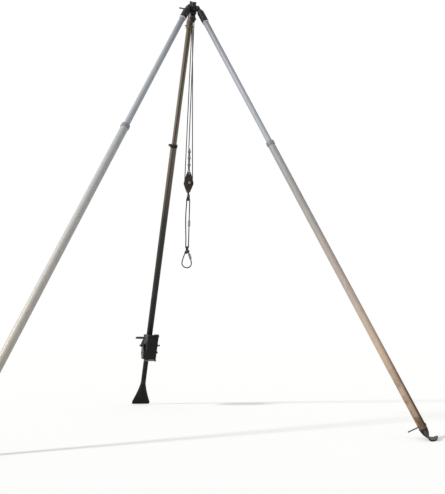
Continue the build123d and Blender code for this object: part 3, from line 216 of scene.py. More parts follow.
blackLook = dict(dark=(18, 16, 18), light=(34, 31, 34), cloud=9.0, dust=0.45, dustTone=(120, 112, 104),
                 edge=0.004, chip=0.30, specks=0.4, metal=(128, 122, 118),
                 bloom=0.6, bloomTone=(70, 54, 44), gloss=(0.40, 0.68), sheen=0.22)
blockLook = dict(dark=(30, 23, 20), light=(52, 41, 35), cloud=16.0, dust=0.4, dustTone=(118, 100, 84),
                 edge=0.003, chip=0.28, specks=0.4, metal=(132, 116, 102),
                 bloom=0.6, bloomTone=(84, 58, 40), gloss=(0.42, 0.7), sheen=0.3)
blackPaint = paintFinish("satin_black_paint", blackLook)
blockPaint = paintFinish("dark_brown_paint", blockLook)

# scales of the tubes' patterns, in waves per metre; streaks run along the leg, rings round it
tubeWear = dict(toneTop=5.5, wander=2.2, streakStretch=(95, 95, 1.3), ringStretch=(3.5, 3.5, 170), scuff=5.0,
                spots=46.0, spotDepth=0.8, soil=7.0, relief=0.25, depth=0.0005)


# drawn tube: tone by height, streaks along the leg, scuff rings round it, dull spots, soil near the ground in
# patches, and painted shade there on the side that faces away from the sun
def tubeFinish(name, leg, look):
    sockets = {"Metallic": look["metal"], "Specular IOR Level": look["sheen"]}
    finish, tree, shader, coords = startFinish(name, sockets)
    place, wear = coords["Object"], tubeWear
    along = Vector(legAxes(leg)[2])
    turn = tuple(along.rotation_difference(Vector((0, 0, -1))).to_euler())
    high = put(tree, "SeparateXYZ", {0: place}).outputs["Z"]
    wander = reckon(tree, "SUBTRACT", cloud(tree, place, wear["wander"], 4.0, 0.6), 0.5)
    wander = reckon(tree, "MULTIPLY", wander, look["wander"])
    share = reckon(tree, "DIVIDE", reckon(tree, "ADD", high, wander), wear["toneTop"])
    tone = ramp(tree, share, *[(z / wear["toneTop"], shade(*c)) for z, c in look["tones"]])
    streaks = cloud(tree, place, 1.0, 5.0, 0.6, wear["streakStretch"], turn)
    streaked = ramp(tree, streaks, (0.35, 0.0), (0.75, look["streak"]))
    tone = blendColour(tree, streaked, tone, shade(*look["streakTone"]))
    rings = ramp(tree, cloud(tree, place, 1.0, 6.0, 0.75, wear["ringStretch"], turn), (0.56, 0.0), (0.68, 1.0))
    areas = ramp(tree, cloud(tree, place, wear["scuff"]), (0.42, 0.0), (0.62, look["scuff"]))
    tone = blendColour(tree, reckon(tree, "MULTIPLY", rings, areas), tone, shade(*look["scuffTone"]))
    spots = ramp(tree, cloud(tree, place, wear["spots"], 6.0, 0.7), (0.6, 0.0), (0.78, look["spots"]))
    tone = blendColour(tree, spots, tone, shade(*look["spotTone"]))
    patches = ramp(tree, cloud(tree, place, wear["soil"], 7.0, 0.7), (0.44, 0.0), (0.58, 1.0))
    soil = reckon(tree, "MULTIPLY", ramp(tree, share, (0.03, look["soil"]), (0.17, 0.0)), patches)
    tone = blendColour(tree, soil, tone, shade(*look["soilTone"]))
    # painted shade: near the ground the tube is darkened on the side that faces away from the sun
    facing = put(tree, "NewGeometry").outputs["Normal"]
    side = put(tree, "VectorMath", {0: facing, 1: look["paintedShadeSide"]}, operation="DOT_PRODUCT").outputs["Value"]
    low = ramp(tree, share, (0.05, look["paintedShade"]), (0.24, 0.0))
    paintedShade = reckon(tree, "MULTIPLY", low, ramp(tree, side, (0.3, 0.0), (0.75, 1.0)))
    tone = blendColour(tree, paintedShade, tone, shade(*look["paintedShadeTone"]))
    tree.links.new(tone, shader.inputs["Base Color"])
    gloss = ramp(tree, streaks, (0.3, look["gloss"][0]), (0.7, look["gloss"][1]))
    tree.links.new(gloss, shader.inputs["Roughness"])
    height = reckon(tree, "SUBTRACT", streaks, reckon(tree, "MULTIPLY", spots, wear["spotDepth"]))
    roughen(tree, shader, height, wear["relief"], wear["depth"])
    return finish


# tones are (height in metres, screen colour)
# silverLook keeps the painted shade off; rightLook turns it on for the right lower tube
silverLook = dict(metal=0.2, sheen=0.15, wander=0.3, soil=0.85, soilTone=(86, 66, 48),
                  paintedShade=0.0, paintedShadeTone=(50, 38, 31), paintedShadeSide=(0.74, -0.48, 0.45),
                  streak=0.45, streakTone=(128, 132, 138), scuff=0.55, scuffTone=(196, 198, 202),
                  spots=0.5, spotTone=(112, 114, 118), gloss=(0.36, 0.6),
                  tones=((3.2, (178, 182, 187)), (4.3, (176, 180, 186)), (4.8, (162, 166, 172)),
                         (5.2, (132, 137, 144))))
leftLook = dict(silverLook, streakTone=(140, 134, 126), spotTone=(122, 112, 102),
                tones=((0.1, (168, 155, 139)), (0.7, (202, 195, 184)), (2.0, (193, 191, 187)),
                       (3.3, (181, 183, 186))))
# the right lower tube carries painted shade, dark brown, on its side away from the sun near the ground
rightLook = dict(silverLook, streakTone=(134, 118, 104), spotTone=(104, 86, 70), paintedShade=0.9,
                 tones=((0.1, (156, 130, 106)), (0.5, (188, 164, 138)), (1.0, (206, 182, 161)),
                        (1.7, (188, 174, 163)), (2.6, (171, 168, 165)), (3.3, (168, 170, 172))))
collarLook = dict(silverLook, metal=0.35, spots=0.7, spotTone=(92, 92, 94), scuff=0.7,
                  tones=((3.2, (132, 135, 139)), (3.5, (142, 145, 149))))
rearHighLook = dict(silverLook, metal=0.05, streak=0.5, streakTone=(84, 72, 60),
                    spotTone=(74, 64, 55), scuffTone=(150, 142, 132),
                    tones=((3.4, (130, 121, 110)), (4.5, (138, 127, 114)), (5.1, (126, 111, 96))))
rearLowLook = dict(rearHighLook, soil=0.0, streakTone=(58, 55, 50), spotTone=(46, 44, 41),
                   tones=((0.8, (40, 39, 37)), (1.7, (50, 49, 47)), (2.2, (66, 63, 58)),
                          (2.7, (74, 72, 64)), (3.1, (110, 101, 90)), (3.6, (128, 118, 107))))
print("paint and tube finishes made")

steelWear = dict(worn=160.0, fine=330.0, stainShare=0.45, depth=0.0004)


# bare metal: grain, stains in the high parts of a slower pattern, pale worn edges, fine scratches
def steelFinish(name, look):
    finish, tree, shader, coords = startFinish(name, {"Metallic": look["metal"]})
    place, wear = coords["Object"], steelWear
    clouds = cloud(tree, place, look["cloud"], 5.0, 0.6)
    tone = ramp(tree, clouds, (0.3, shade(*look["dark"])), (0.7, shade(*look["light"])))
    stain = cloud(tree, place, look["cloud"] * wear["stainShare"], 6.0, 0.7)
    stain = ramp(tree, stain, (look["stain"], 0.0), (look["stain"] + 0.14, 0.85))
    tone = blendColour(tree, stain, tone, shade(*look["stainTone"]))
    worn = reckon(tree, "MULTIPLY", edgeMask(tree, look["edge"]), cloud(tree, place, wear["worn"], 4.0))
    worn = ramp(tree, worn, (0.22, 0.0), (0.4, 0.8))
    tree.links.new(blendColour(tree, worn, tone, shade(*look["wornTone"])), shader.inputs["Base Color"])
    fine = cloud(tree, place, wear["fine"], 4.0, 0.6)
    gloss = ramp(tree, fine, (0.3, look["gloss"][0]), (0.7, look["gloss"][1]))
    tree.links.new(gloss, shader.inputs["Roughness"])
    roughen(tree, shader, reckon(tree, "ADD", fine, stain), look["relief"], wear["depth"])
    return finish


zincLook = dict(metal=0.7, dark=(112, 112, 114), light=(150, 150, 152), cloud=60.0, stain=0.62,
                stainTone=(92, 74, 60), edge=0.0012, wornTone=(186, 186, 188), gloss=(0.34, 0.55), relief=0.15)
sheaveLook = dict(zincLook, dark=(58, 54, 52), light=(86, 82, 79), stainTone=(60, 42, 32),
                  wornTone=(160, 156, 150), relief=0.35)
gearLook = dict(zincLook, dark=(52, 50, 49), light=(84, 82, 80), stain=0.5, stainTone=(26, 22, 19),
                gloss=(0.22, 0.5), relief=0.2)
ferruleLook = dict(zincLook, metal=0.5, dark=(118, 114, 108), light=(152, 148, 141), stainTone=(84, 76, 68),
                   relief=0.3)
brassLook = dict(zincLook, dark=(150, 116, 60), light=(190, 152, 88), stainTone=(88, 64, 36),
                 wornTone=(214, 184, 120))
pinLook = dict(zincLook, metal=0.3, dark=(66, 58, 52), light=(98, 88, 80), stain=0.5, stainTone=(58, 42, 32),
               wornTone=(140, 132, 124))
ringLook = dict(zincLook, metal=0.4, dark=(190, 190, 190), light=(214, 214, 213), stain=0.66,
                stainTone=(150, 140, 128), gloss=(0.3, 0.5))
zinc = steelFinish("zinc_plate", zincLook)
sheaveSteel = steelFinish("turned_sheave_steel", sheaveLook)
gearSteel = steelFinish("greased_gear_steel", gearLook)
ferruleAlloy = steelFinish("pressed_ferrule_alloy", ferruleLook)
brass = steelFinish("turned_brass", brassLook)
pinSteel = steelFinish("weathered_pin_steel", pinLook)
ringAlloy = steelFinish("turned_end_ring", ringLook)

gripLook = dict(dark=(27, 26, 26), polished=(44, 42, 41), cloud=34.0, stipple=1500.0, dull=0.62, bright=0.4,
                relief=0.5, depth=0.0003)


# moulded grip: even black with a fine stipple, paler where hands polish it
def gripFinish(look):
    finish, tree, shader, coords = startFinish("moulded_grip", {"Metallic": 0.0})
    place = coords["Object"]
    polish = ramp(tree, cloud(tree, place, look["cloud"], 4.0), (0.4, 0.0), (0.7, 1.0))
    tone = blendColour(tree, polish, shade(*look["dark"]), shade(*look["polished"]))
    tree.links.new(tone, shader.inputs["Base Color"])
    tree.links.new(ramp(tree, polish, (0.0, look["dull"]), (1.0, look["bright"])), shader.inputs["Roughness"])
    roughen(tree, shader, cloud(tree, place, look["stipple"], 2.0), look["relief"], look["depth"])
    return finish


gripPlastic = gripFinish(gripLook)

# laid rope: strands, one lay in diameters, least radius in the valleys, points round it, metres between rings
ropeLook = dict(strands=6, lay=6.6, valley=0.74, around=36, step=0.0062, dark=(20, 16, 14), light=(44, 36, 31),
                wire=(72, 63, 56), wires=42.0, slant=3.0, oil=30.0, metal=0.35, relief=0.6, depth=0.0004)


# rope metal: oily dark in the valleys, fine wires slanted across each strand by the rope's own map
def ropeFinish(look):
    finish, tree, shader, coords = startFinish("oiled_wire_rope", {"Metallic": look["metal"]})
    lay = put(tree, "SeparateXYZ", {0: coords["UV"]}).outputs
    slant = reckon(tree, "MULTIPLY", lay["Y"], look["slant"])
    wave = reckon(tree, "ADD", reckon(tree, "MULTIPLY", lay["X"], look["wires"]), slant)
    wires = reckon(tree, "ABSOLUTE", reckon(tree, "SINE", reckon(tree, "MULTIPLY", wave, math.pi)))
    valley = reckon(tree, "COSINE", reckon(tree, "MULTIPLY", lay["X"], look["strands"] * math.pi))
    valley = reckon(tree, "ABSOLUTE", valley)
    oil = cloud(tree, coords["Object"], look["oil"], 5.0, 0.65)
    oiled = reckon(tree, "MULTIPLY", valley, oil)
    tone = ramp(tree, oiled, (0.12, shade(*look["dark"])), (0.55, shade(*look["light"])))
    bright = ramp(tree, reckon(tree, "MULTIPLY", wires, valley), (0.72, 0.0), (1.0, 0.7))
    tree.links.new(blendColour(tree, bright, tone, shade(*look["wire"])), shader.inputs["Base Color"])
    tree.links.new(ramp(tree, oil, (0.3, 0.36), (0.7, 0.62)), shader.inputs["Roughness"])
    roughen(tree, shader, wires, look["relief"], look["depth"])
    return finish


ropeWire = ropeFinish(ropeLook)
print("metal, grip and rope finishes made")


# points along one NURBS spline through these control points, read from a curve with no bevel
def splinePoints(name, route, step):
    route = np.asarray(route, float)
    sides = np.linalg.norm(np.diff(route, axis=0), axis=1)
    curve = bpy.data.curves.new(name, "CURVE")
    curve.dimensions = "3D"
    spline = curve.splines.new("NURBS")
    spline.points.add(len(route) - 1)
    spline.points.foreach_set("co", np.column_stack((route, np.ones(len(route)))).ravel())
    spline.order_u = 3
    spline.use_endpoint_u = True
    spline.resolution_u = math.ceil((sides[1:] + sides[:-1]).max() / step)
    holder = bpy.data.objects.new(name, curve)
    scene.collection.objects.link(holder)
    mesh = bpy.data.meshes.new_from_object(holder.evaluated_get(bpy.context.evaluated_depsgraph_get()))
    found = np.empty(len(mesh.vertices) * 3)
    mesh.vertices.foreach_get("co", found)
    bpy.data.objects.remove(holder)
    bpy.data.curves.remove(curve)
    bpy.data.meshes.remove(mesh)
    return found.reshape(-1, 3)


# a mesh object from a grid of points: columns close round, rows close too or get caps; uv is given per point
def gridPiece(name, grid, finish, looped=False, uv=None):
    rows, columns = grid.shape[:2]
    points = grid.reshape(-1, 3)
    i, j = np.meshgrid(np.arange(rows if looped else rows - 1), np.arange(columns), indexing="ij")
    k, n = (j + 1) % columns, (i + 1) % rows
    quads = np.stack((i * columns + j, i * columns + k, n * columns + k, n * columns + j), -1).reshape(-1, 4)
    a, b, c, d = points[quads.T]
    inward = (np.cross(b - a, c - a) * a + np.cross(c - a, d - a) * a).sum() < 0   # signed volume of the shell
    caps = np.zeros((0, 3), int)
    if not looped:
        points = np.vstack((points, grid[0].mean(0), grid[-1].mean(0)))
        ring = np.arange(columns)
        after, top = (ring + 1) % columns, (rows - 1) * columns
        first = np.column_stack((np.full(columns, rows * columns), after, ring))
        last = np.column_stack((np.full(columns, rows * columns + 1), top + ring, top + after))
        caps = np.vstack((first, last))
    spread = None
    if uv is not None:
        spots = uv.reshape(-1, 2)
        seam = np.repeat(k.reshape(-1, 1) == 0, 4, 1) * (0, 1, 1, 0)
        wrapped = spots[quads] + np.stack((seam, np.zeros((len(quads), 4))), -1)
        ends = np.vstack((spots, uv[0, :1], uv[-1, :1]))[caps]
        if inward:
            wrapped, ends = wrapped[:, ::-1], ends[:, ::-1]
        spread = np.vstack((wrapped.reshape(-1, 2), ends.reshape(-1, 2)))
    if inward:
        quads, caps = quads[:, ::-1], caps[:, ::-1]
    mesh = bpy.data.meshes.new(name)
    mesh.from_pydata(points.tolist(), [], quads.tolist() + caps.tolist())
    if spread is not None:
        mesh.uv_layers.new(name="lay").data.foreach_set("uv", spread.ravel())
    mesh.polygons.foreach_set("use_smooth", np.ones(len(mesh.polygons), bool))
    mesh.materials.append(finish)
    mesh.update()
    piece = bpy.data.objects.new(name, mesh)
    scene.collection.objects.link(piece)
    return piece


# laid rope: a section of six round strands carried along the route and turned by its length over the lay
def layRope(name, route, diameter, side):
    path = splinePoints(name + "_route", route, ropeLook["step"])
    pace = np.gradient(path, axis=0)
    pace /= np.linalg.norm(pace, axis=1)[:, None]
    side = np.asarray(side, float) - (pace @ np.asarray(side, float))[:, None] * pace
    side /= np.linalg.norm(side, axis=1)[:, None]
    other = np.cross(pace, side)
    run = np.concatenate(((0.0,), np.cumsum(np.linalg.norm(np.diff(path, axis=0), axis=1))))
    spin = 2 * math.pi * np.arange(ropeLook["around"]) / ropeLook["around"]
    half = math.pi / ropeLook["strands"]
    lobe = (spin + half) % (2 * half) - half
    middle, strand = 2 / 3, 1 / 3   # a strand's middle and radius, where the rope's radius is 1
    radius = middle * np.cos(lobe) + np.sqrt(np.maximum(strand ** 2 - (middle * np.sin(lobe)) ** 2, 0.0))
    radius = np.maximum(radius, ropeLook["valley"]) * diameter / 2
    angle = spin[None] + (2 * math.pi * run / (ropeLook["lay"] * diameter))[:, None]
    ring = np.cos(angle)[..., None] * side[:, None] + np.sin(angle)[..., None] * other[:, None]
    grid = path[:, None] + radius[None, :, None] * ring
    uv = np.stack(np.broadcast_arrays(spin[None] / (2 * math.pi), (run / diameter)[:, None]), -1)
    return gridPiece(name, grid, ropeWire, uv=uv), path


# corners of the polygon drawn round an arc: each side touches the circle at its middle
def arcCorners(middle, radius, first, sweep, count, a, b):
    angles = np.radians(first + sweep * (np.arange(count) + 0.5) / count)[:, None]
    wide = radius / math.cos(math.radians(abs(sweep) / count / 2))
    return np.asarray(middle) + wide * (np.cos(angles) * np.asarray(a) + np.sin(angles) * np.asarray(b))


tackle = dict(rope=0.012, upperAxle=5.167, lowerAxle=2.965, becket=3.082, gap=0.0125, upperPitch=0.040,
              lowerPitch=0.050, leadIn=0.015, eye=0.0065, eyeTop=3.450, tailTop=3.415, eyeCorner=3.1284,
              eyeStraight=3.190, thimble=0.022, thimbleFrom=160.0, thimbleSweep=220.0, thimbleCorners=5,
              fallSweep=180.0, leadSweep=153.04, turnCorners=6)


# taut rope, straight between two points, baked in place; the CAD node it stands for is hidden
def tautRope(name, start, end, node):
    middle = (np.array(start) + end) / 2
    piece, path = layRope(name, (start, middle, end), tackle["rope"], (1, 0, 0))
    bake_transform(piece)
    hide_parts(node)


# three falls between the blocks: the dead end to its eye, the other two down to the lower sheave's sides
def makeFalls():
    y, t = stance["headY"], tackle
    high, low = t["upperAxle"] - t["leadIn"], t["lowerAxle"] + t["leadIn"]
    front, back = y - t["upperPitch"], y + t["upperPitch"]
    ends = (("fall_dead_end", (t["gap"], front, high), (-t["eye"], y, t["eyeTop"])),
            ("fall_second", (t["gap"], back, high), (t["lowerPitch"], y, low)),
            ("fall_third", (-t["gap"], front, high), (-t["lowerPitch"], y, low)))
    for name, top, foot in ends:
        tautRope(name, top, foot, "hoist_falls")


lead = dict(top=(-0.01261, -0.63795, 5.17132), split=(-0.02411, 0.12835, 3.66506),
            foot=(-0.04541, 1.54758, 0.87541))


# lead line to the drum, in two lengths that meet beside the rear collar
def makeLead():
    tautRope("lead_high", lead["top"], lead["split"], "lead_line_upper")
    tautRope("lead_low", lead["split"], lead["foot"], "lead_line_lower")


# turns over the two head sheaves: in at the front, over the top, and down or out along the lead line
def makeHeadTurns():
    y, t = stance["headY"], tackle
    turns = (("head_turn_fall", t["gap"], t["fallSweep"]), ("head_turn_lead", -t["gap"], t["leadSweep"]))
    for name, x, sweep in turns:
        axle = np.array((x, y, t["upperAxle"]))
        corners = arcCorners(axle, t["upperPitch"], 180.0, -sweep, t["turnCorners"], (0, 1, 0), (0, 0, 1))
        entry = axle + (0, -t["upperPitch"], -t["leadIn"])
        last = math.radians(180.0 - sweep)
        leave = axle + np.array((0, math.cos(last), math.sin(last))) * t["upperPitch"]
        leave += np.array((0, math.sin(last), -math.cos(last))) * t["leadIn"]
        piece, _ = layRope(name, np.vstack((entry, corners, leave)), t["rope"], (1, 0, 0))
        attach(piece, "head")
        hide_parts("upper_rope_turns")


# turn under the lower sheave, and the dead end round its thimble and back up through the clips
def makeLowerTurns():
    y, t = stance["headY"], tackle
    axle = np.array((0, y, t["lowerAxle"]))
    corners = arcCorners(axle, t["lowerPitch"], 180.0, 180.0, t["turnCorners"], (1, 0, 0), (0, 0, 1))
    lift = np.array((0, 0, t["leadIn"]))
    ends = axle + (-t["lowerPitch"], 0, 0) + lift, axle + (t["lowerPitch"], 0, 0) + lift
    under, _ = layRope("lower_turn", np.vstack((ends[0], corners, ends[1])), t["rope"], (0, 1, 0))
    loop = arcCorners((0, y, t["becket"]), t["thimble"], t["thimbleFrom"], t["thimbleSweep"],
                      t["thimbleCorners"], (1, 0, 0), (0, 0, 1))
    down = [(-t["eye"], y, z) for z in (t["eyeTop"], t["eyeStraight"], t["eyeCorner"])]
    rise = [(t["eye"], y, z) for z in (t["eyeCorner"], t["eyeStraight"], t["tailTop"])]
    eye, _ = layRope("dead_end_eye", np.vstack((down, loop, rise)), t["rope"], (0, 1, 0))
    for piece in (under, eye):
        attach(piece, "lower_block")
        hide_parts("lower_rope_turns")


drum = dict(axis=(0.0, 1.47767, 0.82581), radius=0.0848, turns=7, corners=12, pitch=0.013, half=0.0455,
            coreRadius=0.0785, coreInner=0.0502, coreHalf=0.0525, coreAround=180, coreAlong=169,
            strandDepth=0.0005, mapRound=3)


# outer layer on the drum: a helix about the drum's axis, led off along the lead line
def makeDrumTurns():
    across, outward, along = legAxes("rear")
    turn = (np.arange(drum["corners"] * drum["turns"]) + 0.5) / drum["corners"]
    angle = 2 * math.pi * (drum["turns"] - turn)
    wide = drum["radius"] / math.cos(math.pi / drum["corners"])
    u = -drum["half"] + drum["pitch"] * turn
    ring = np.cos(angle)[:, None] * outward + np.sin(angle)[:, None] * along
    corners = np.array(drum["axis"]) + u[:, None] * across + wide * ring
    edge = np.array(drum["axis"]) + drum["radius"] * outward
    first = edge - drum["half"] * across + along * tackle["rope"]
    last = edge + drum["half"] * across - along * tackle["rope"]
    piece, _ = layRope("drum_outer_turns", np.vstack((first, corners, last)), tackle["rope"], across)
    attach(piece, "drum")
    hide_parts("drum_rope_turns")


# inner layers: a sleeve whose radius follows rope turns, half circles in a row that climb one pitch each turn
def makeDrumCore():
    across, outward, along = legAxes("rear")
    spin = 2 * math.pi * np.arange(drum["coreAround"]) / drum["coreAround"]
    u = np.linspace(-drum["coreHalf"], drum["coreHalf"], drum["coreAlong"])
    phase = (u[:, None] / drum["pitch"] - spin[None] / (2 * math.pi)) % 1.0 - 0.5
    r = tackle["rope"] / 2
    crest = drum["coreRadius"] - r + np.sqrt(np.maximum(r * r - (phase * drum["pitch"]) ** 2, 0.0))
    twist = spin[None] * drum["radius"] / (ropeLook["lay"] * tackle["rope"]) * ropeLook["strands"]
    strand = drum["strandDepth"] * np.cos(ropeLook["strands"] * (2 * math.pi * phase + twist))
    radius = crest + strand - drum["strandDepth"]
    inner = np.full((1, drum["coreAround"]), drum["coreInner"])
    radius = np.vstack((inner, radius, inner))
    u = np.concatenate((u[:1], u, u[-1:]))
    ring = np.cos(spin)[:, None] * outward + np.sin(spin)[:, None] * along
    grid = np.array(drum["axis"]) + u[:, None, None] * across + radius[..., None] * ring[None]
    uv = np.stack(np.broadcast_arrays(spin[None] * drum["mapRound"], u[:, None] / tackle["rope"]), -1)
    piece = gridPiece("drum_inner_layers", grid, ropeWire, looped=True, uv=uv)
    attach(piece, "drum")
    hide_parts("drum_rope_core")


# sling, in (X, Z) beside the head's plumb line; the ends of each rope meet, this far apart, inside its ferrule
sling = dict(rope=0.014, meet=0.0005, saddle=2.752, saddleR=0.0193, bow=2.162, bowR=0.0173,
             middle=(0.0183, 2.45694),
             slack=((-0.0193, 2.692), (-0.0275, 2.565), (-0.0250, 2.430), (-0.0185, 2.300), (-0.0173, 2.222)),
             pinCorner=(0.01305, 2.1183), pinSide=(0.02155, 2.09364), nooseMiddle=(0.03795, 2.04609),
             noose=1.966, nooseR=0.062, tilt=19.03, nooseCorners=5)


# rope of the sling from its flat route; its length is measured along the spline
def slingRope(name, flat, node):
    y = stance["headY"]
    piece, path = layRope(name, [(a, y, b) for a, b in flat], sling["rope"], (0, 1, 0))
    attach(piece, "sling")
    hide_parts(node)


# strop over the hook and under the shackle's bow, its slack strand bowed out, ends meeting in the ferrule
def makeStrop():
    s = sling
    x, z = s["middle"]
    hook = [(s["saddleR"] * a, s["saddle"] + s["saddleR"] * b) for a, b in ((1, -1), (1, 1), (-1, 1), (-1, -1))]
    bow = [(s["bowR"] * a, s["bow"] + s["bowR"] * b) for a, b in ((-1, 1), (-1, -1), (1, -1), (1, 1))]
    flat = [(x, z + s["meet"]), *hook, *s["slack"], *bow, (x, z - s["meet"])]
    slingRope("strop_rope", flat, "strop")


# noose: over the shackle pin and round an open loop, ends meeting in its ferrule
def makeNoose():
    s = sling
    mirrored = lambda p: (-p[0], p[1])
    way = np.subtract(s["pinSide"], s["nooseMiddle"])
    way = way / np.linalg.norm(way) * s["meet"]
    belly = arcCorners((0, s["noose"]), s["nooseR"], 180.0 - s["tilt"], 180.0 + 2 * s["tilt"],
                       s["nooseCorners"], (1, 0), (0, 1))
    flat = [np.add(s["nooseMiddle"], way), s["pinSide"], s["pinCorner"], mirrored(s["pinCorner"])]
    flat += [mirrored(s["pinSide"]), *belly, np.subtract(s["nooseMiddle"], way)]
    slingRope("noose_rope", flat, "noose")


makeFalls()
makeLead()
makeHeadTurns()
makeLowerTurns()
makeDrumTurns()
makeDrumCore()
makeStrop()
makeNoose()
print("ropes laid")


# turned piece: a closed profile of (distance along, radius) carried round an axis
def turnPiece(name, start, way, profile, around, finish):
    way = np.asarray(way, float)
    side = np.cross(way, (0.0, 0.0, 1.0) if abs(way[2]) < 0.9 else (1.0, 0.0, 0.0))
    side /= np.linalg.norm(side)
    other = np.cross(way, side)
    spin = 2 * math.pi * np.arange(around) / around
    profile = np.asarray(profile, float)
    ring = np.cos(spin)[:, None] * side + np.sin(spin)[:, None] * other
    grid = np.asarray(start) + profile[:, :1, None] * way + profile[:, 1:, None] * ring[None]
    return gridPiece(name, grid, finish, looped=True)


grip = dict(start=(-0.1495, 1.20044, 1.04623), length=0.112, radius=0.017, slim=0.86, belly=0.8, bore=0.00705,
            ribs=9, rib=0.0009, ribRise=12, ribStart=0.6, end=0.004, rows=181, around=64)


# grip: barrel that swells in the middle, with shallow ribs, rounded at both ends and bored through
def makeGrip():
    s = np.linspace(0.0, 1.0, grip["rows"])
    swell = grip["radius"] * (grip["slim"] + (1 - grip["slim"]) * np.sin(math.pi * s) ** grip["belly"])
    fade = np.clip(np.minimum(s, 1 - s) * grip["ribRise"] - grip["ribStart"], 0, 1)
    ribs = grip["rib"] * np.cos(2 * math.pi * grip["ribs"] * s) * fade
    close = np.minimum(s, 1 - s) * grip["length"] / grip["end"]
    rounding = (1 - np.sqrt(np.maximum(1 - (1 - close) ** 2, 0))) * grip["end"]
    outer = np.column_stack((s * grip["length"], swell + ribs - np.where(close < 1, rounding, 0.0)))
    profile = np.vstack(((0.0, grip["bore"]), outer, (grip["length"], grip["bore"])))
    across = legAxes("rear")[0]
    piece = turnPiece("ribbed_grip", grip["start"], across, profile, grip["around"], gripPlastic)
    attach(piece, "grip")
    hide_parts("crank_grip")


rings = dict(footAt=5.8203, footLong=0.013, footR=0.0464, bore=0.0451, around=72,
             socketAt=0.225, socketLong=0.010, socketR=0.0436, tube=0.0351,
             lipShare=0.35, lipDrop=0.001, lipFoot=0.0015)


band = dict(points=13, flatness=0.4)


# rounded band: half an ellipse, flattened by a power below one, standing on its bore
def bandProfile(long, bore, crest):
    bend = np.linspace(0.0, math.pi, band["points"])
    rise = np.sin(bend).clip(0) ** band["flatness"]
    return np.column_stack((long / 2 - np.cos(bend) * long / 2, bore + (crest - bore) * rise))


# end rings on the front legs: a rounded band round the tube's foot, and a bevelled lip under the socket
def makeRings():
    g = rings
    hoop = bandProfile(g["footLong"], g["bore"], g["footR"])
    crest, tube, long = g["socketR"], g["tube"], g["socketLong"]
    lip = ((0.0, tube), (0.0, crest), (long * g["lipShare"], crest - g["lipDrop"]),
           (long, tube + g["lipFoot"]), (long, tube))
    for leg in ("left", "right"):
        along = legAxes(leg)[2]
        start = legPoint(leg, 0, 0, g["footAt"] - g["footLong"])
        foot = turnPiece(leg + "_foot_ring", start, along, hoop, g["around"], pinSteel)
        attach(foot, leg + "_lower")
        start = legPoint(leg, 0, 0, g["socketAt"])
        rim = turnPiece(leg + "_socket_rim", start, along, lip, g["around"], ringAlloy)
        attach(rim, leg + "_upper")


# lean is the rope's sideways run for each metre up
ridges = dict(steps=(-0.024, 0.0, 0.024), long=0.010, crest=0.0160, ferrule=0.0149, around=40,
              stropLean=0.0034, nooseLean=-0.3449)


# pressed ridges: three low bands round each ferrule of the sling, square to its rope
def makeRidges():
    g = ridges
    low = bandProfile(g["long"], g["ferrule"], g["crest"])
    ferrules = (("strop", sling["middle"], g["stropLean"]), ("noose", sling["nooseMiddle"], g["nooseLean"]))
    for name, (x, z), lean in ferrules:
        way = np.array((lean, 0.0, 1.0)) / math.hypot(lean, 1.0)
        for index, step in enumerate(g["steps"]):
            start = np.array((x, stance["headY"], z)) + way * (step - g["long"] / 2)
            ridge = turnPiece(f"{name}_ferrule_ridge_{index}", start, way, low, g["around"], ferruleAlloy)
            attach(ridge, "sling")


welds = dict(bead=0.0042, thin=0.8, ripples=34, around=170, section=12,
             front=(5.8245, 0.0448), rear=(5.5525, 0.0376))


# weld bead: a ring whose own thickness swells and sinks round it, laid where the foot's pipe meets the tube
def makeWelds():
    for leg, (at, radius) in (("left", welds["front"]), ("right", welds["front"]), ("rear", welds["rear"])):
        across, outward, along = legAxes(leg)
        spin = 2 * math.pi * np.arange(welds["around"]) / welds["around"]
        turn = 2 * math.pi * np.arange(welds["section"]) / welds["section"]
        ripple = np.abs(np.sin(spin * welds["ripples"] / 2))
        thick = welds["bead"] * (welds["thin"] + (1 - welds["thin"]) * ripple)
        out = radius + thick[:, None] * np.cos(turn)
        down = thick[:, None] * np.sin(turn)
        ring = np.cos(spin)[:, None] * across + np.sin(spin)[:, None] * outward
        grid = legPoint(leg, 0, 0, at) + out[..., None] * ring[:, None] + down[..., None] * along
        bead = gridPiece(leg + "_foot_weld", grid, blackPaint, looped=True)
        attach(bead, leg + "_lower")


makeGrip()
makeRings()
makeRidges()
makeWelds()
print("grip, rings and welds made")

# finishes of the CAD nodes by the record's slots; tubes, collars and the rear socket take their leg's direction
finishes = dict(black_paint=blackPaint, block_paint=blockPaint, bolt_steel=zinc, sheave_steel=sheaveSteel,
                wire_rope=ropeWire, ferrule_alloy=ferruleAlloy, bush_brass=brass, gear_steel=gearSteel,
                grip_plastic=gripPlastic)
tubes = dict(left_upper_tube=("left", silverLook), right_upper_tube=("right", silverLook),
             left_lower_tube=("left", leftLook), right_lower_tube=("right", rightLook),
             rear_upper_tube=("rear", rearHighLook), rear_lower_tube=("rear", rearLowLook),
             left_collar=("left", collarLook), right_collar=("right", collarLook),
             rear_socket=("rear", rearHighLook))
slotOf = {part["node"]: part["material_slot"] for part in frame["record"]["subparts"]}
for name, node in nodes.items():
    if name in tubes:
        finish = tubeFinish(name + "_metal", *tubes[name])
    elif name.endswith("_foot_pin"):
        finish = pinSteel
    else:
        finish = finishes[slotOf[name]]
    node.data.materials.clear()
    node.data.materials.append(finish)
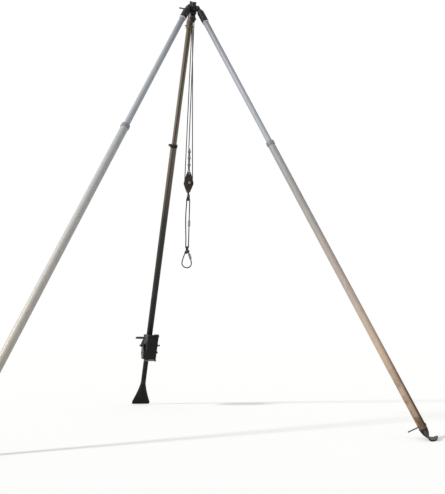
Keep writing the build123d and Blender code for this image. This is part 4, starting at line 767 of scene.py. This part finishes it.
print("finishes set on", len(nodes), "nodes")

light = dict(sky=0.40, sun=2.6, sunFrom=(-0.92, -0.20, 0.50), sunWide=6.0,
             floor=(236, 236, 234), floorHalf=60.0, floorTop=-0.001, lift=0.30)


# white world to the eye and in reflections, even sky light elsewhere, one broad sun, a pale floor for shadows
def lightStudio():
    world = bpy.data.worlds.new("studio")
    world.use_nodes = True
    tree = world.node_tree
    ground = tree.nodes["Background"]
    path = put(tree, "LightPath").outputs
    seen = reckon(tree, "MAXIMUM", path["Is Camera Ray"], path["Is Glossy Ray"])
    seen = reckon(tree, "MAXIMUM", seen, path["Is Transmission Ray"])
    level = reckon(tree, "ADD", reckon(tree, "MULTIPLY", seen, 1.0 - light["sky"]), light["sky"])
    ground.inputs["Color"].default_value = (1.0, 1.0, 1.0, 1.0)
    tree.links.new(level, ground.inputs["Strength"])
    scene.world = world
    lamp = bpy.data.lights.new("sun", "SUN")
    lamp.energy = light["sun"]
    lamp.angle = math.radians(light["sunWide"])
    lampObject = bpy.data.objects.new("sun", lamp)
    scene.collection.objects.link(lampObject)
    lampObject.rotation_euler = Vector(light["sunFrom"]).to_track_quat("Z", "Y").to_euler()

    size, top = light["floorHalf"], light["floorTop"]
    corners = [(a * size, b * size, top) for a, b in ((-1, -1), (1, -1), (1, 1), (-1, 1))]
    mesh = bpy.data.meshes.new("floor")
    mesh.from_pydata(corners, [], [(0, 1, 2, 3)])
    sockets = {"Roughness": 0.9, "Base Color": shade(*light["floor"])}
    finish, tree, shader, _ = startFinish("pale_floor", sockets)
    path = put(tree, "LightPath").outputs
    glow = put(tree, "Emission", {"Strength": reckon(tree, "MULTIPLY", path["Is Camera Ray"], light["lift"])})
    both = put(tree, "AddShader", {0: shader.outputs[0], 1: glow.outputs[0]})
    tree.links.new(both.outputs[0], tree.nodes["Material Output"].inputs["Surface"])
    mesh.materials.append(finish)
    floor = bpy.data.objects.new("floor", mesh)
    scene.collection.objects.link(floor)


lightStudio()
print("studio lit")
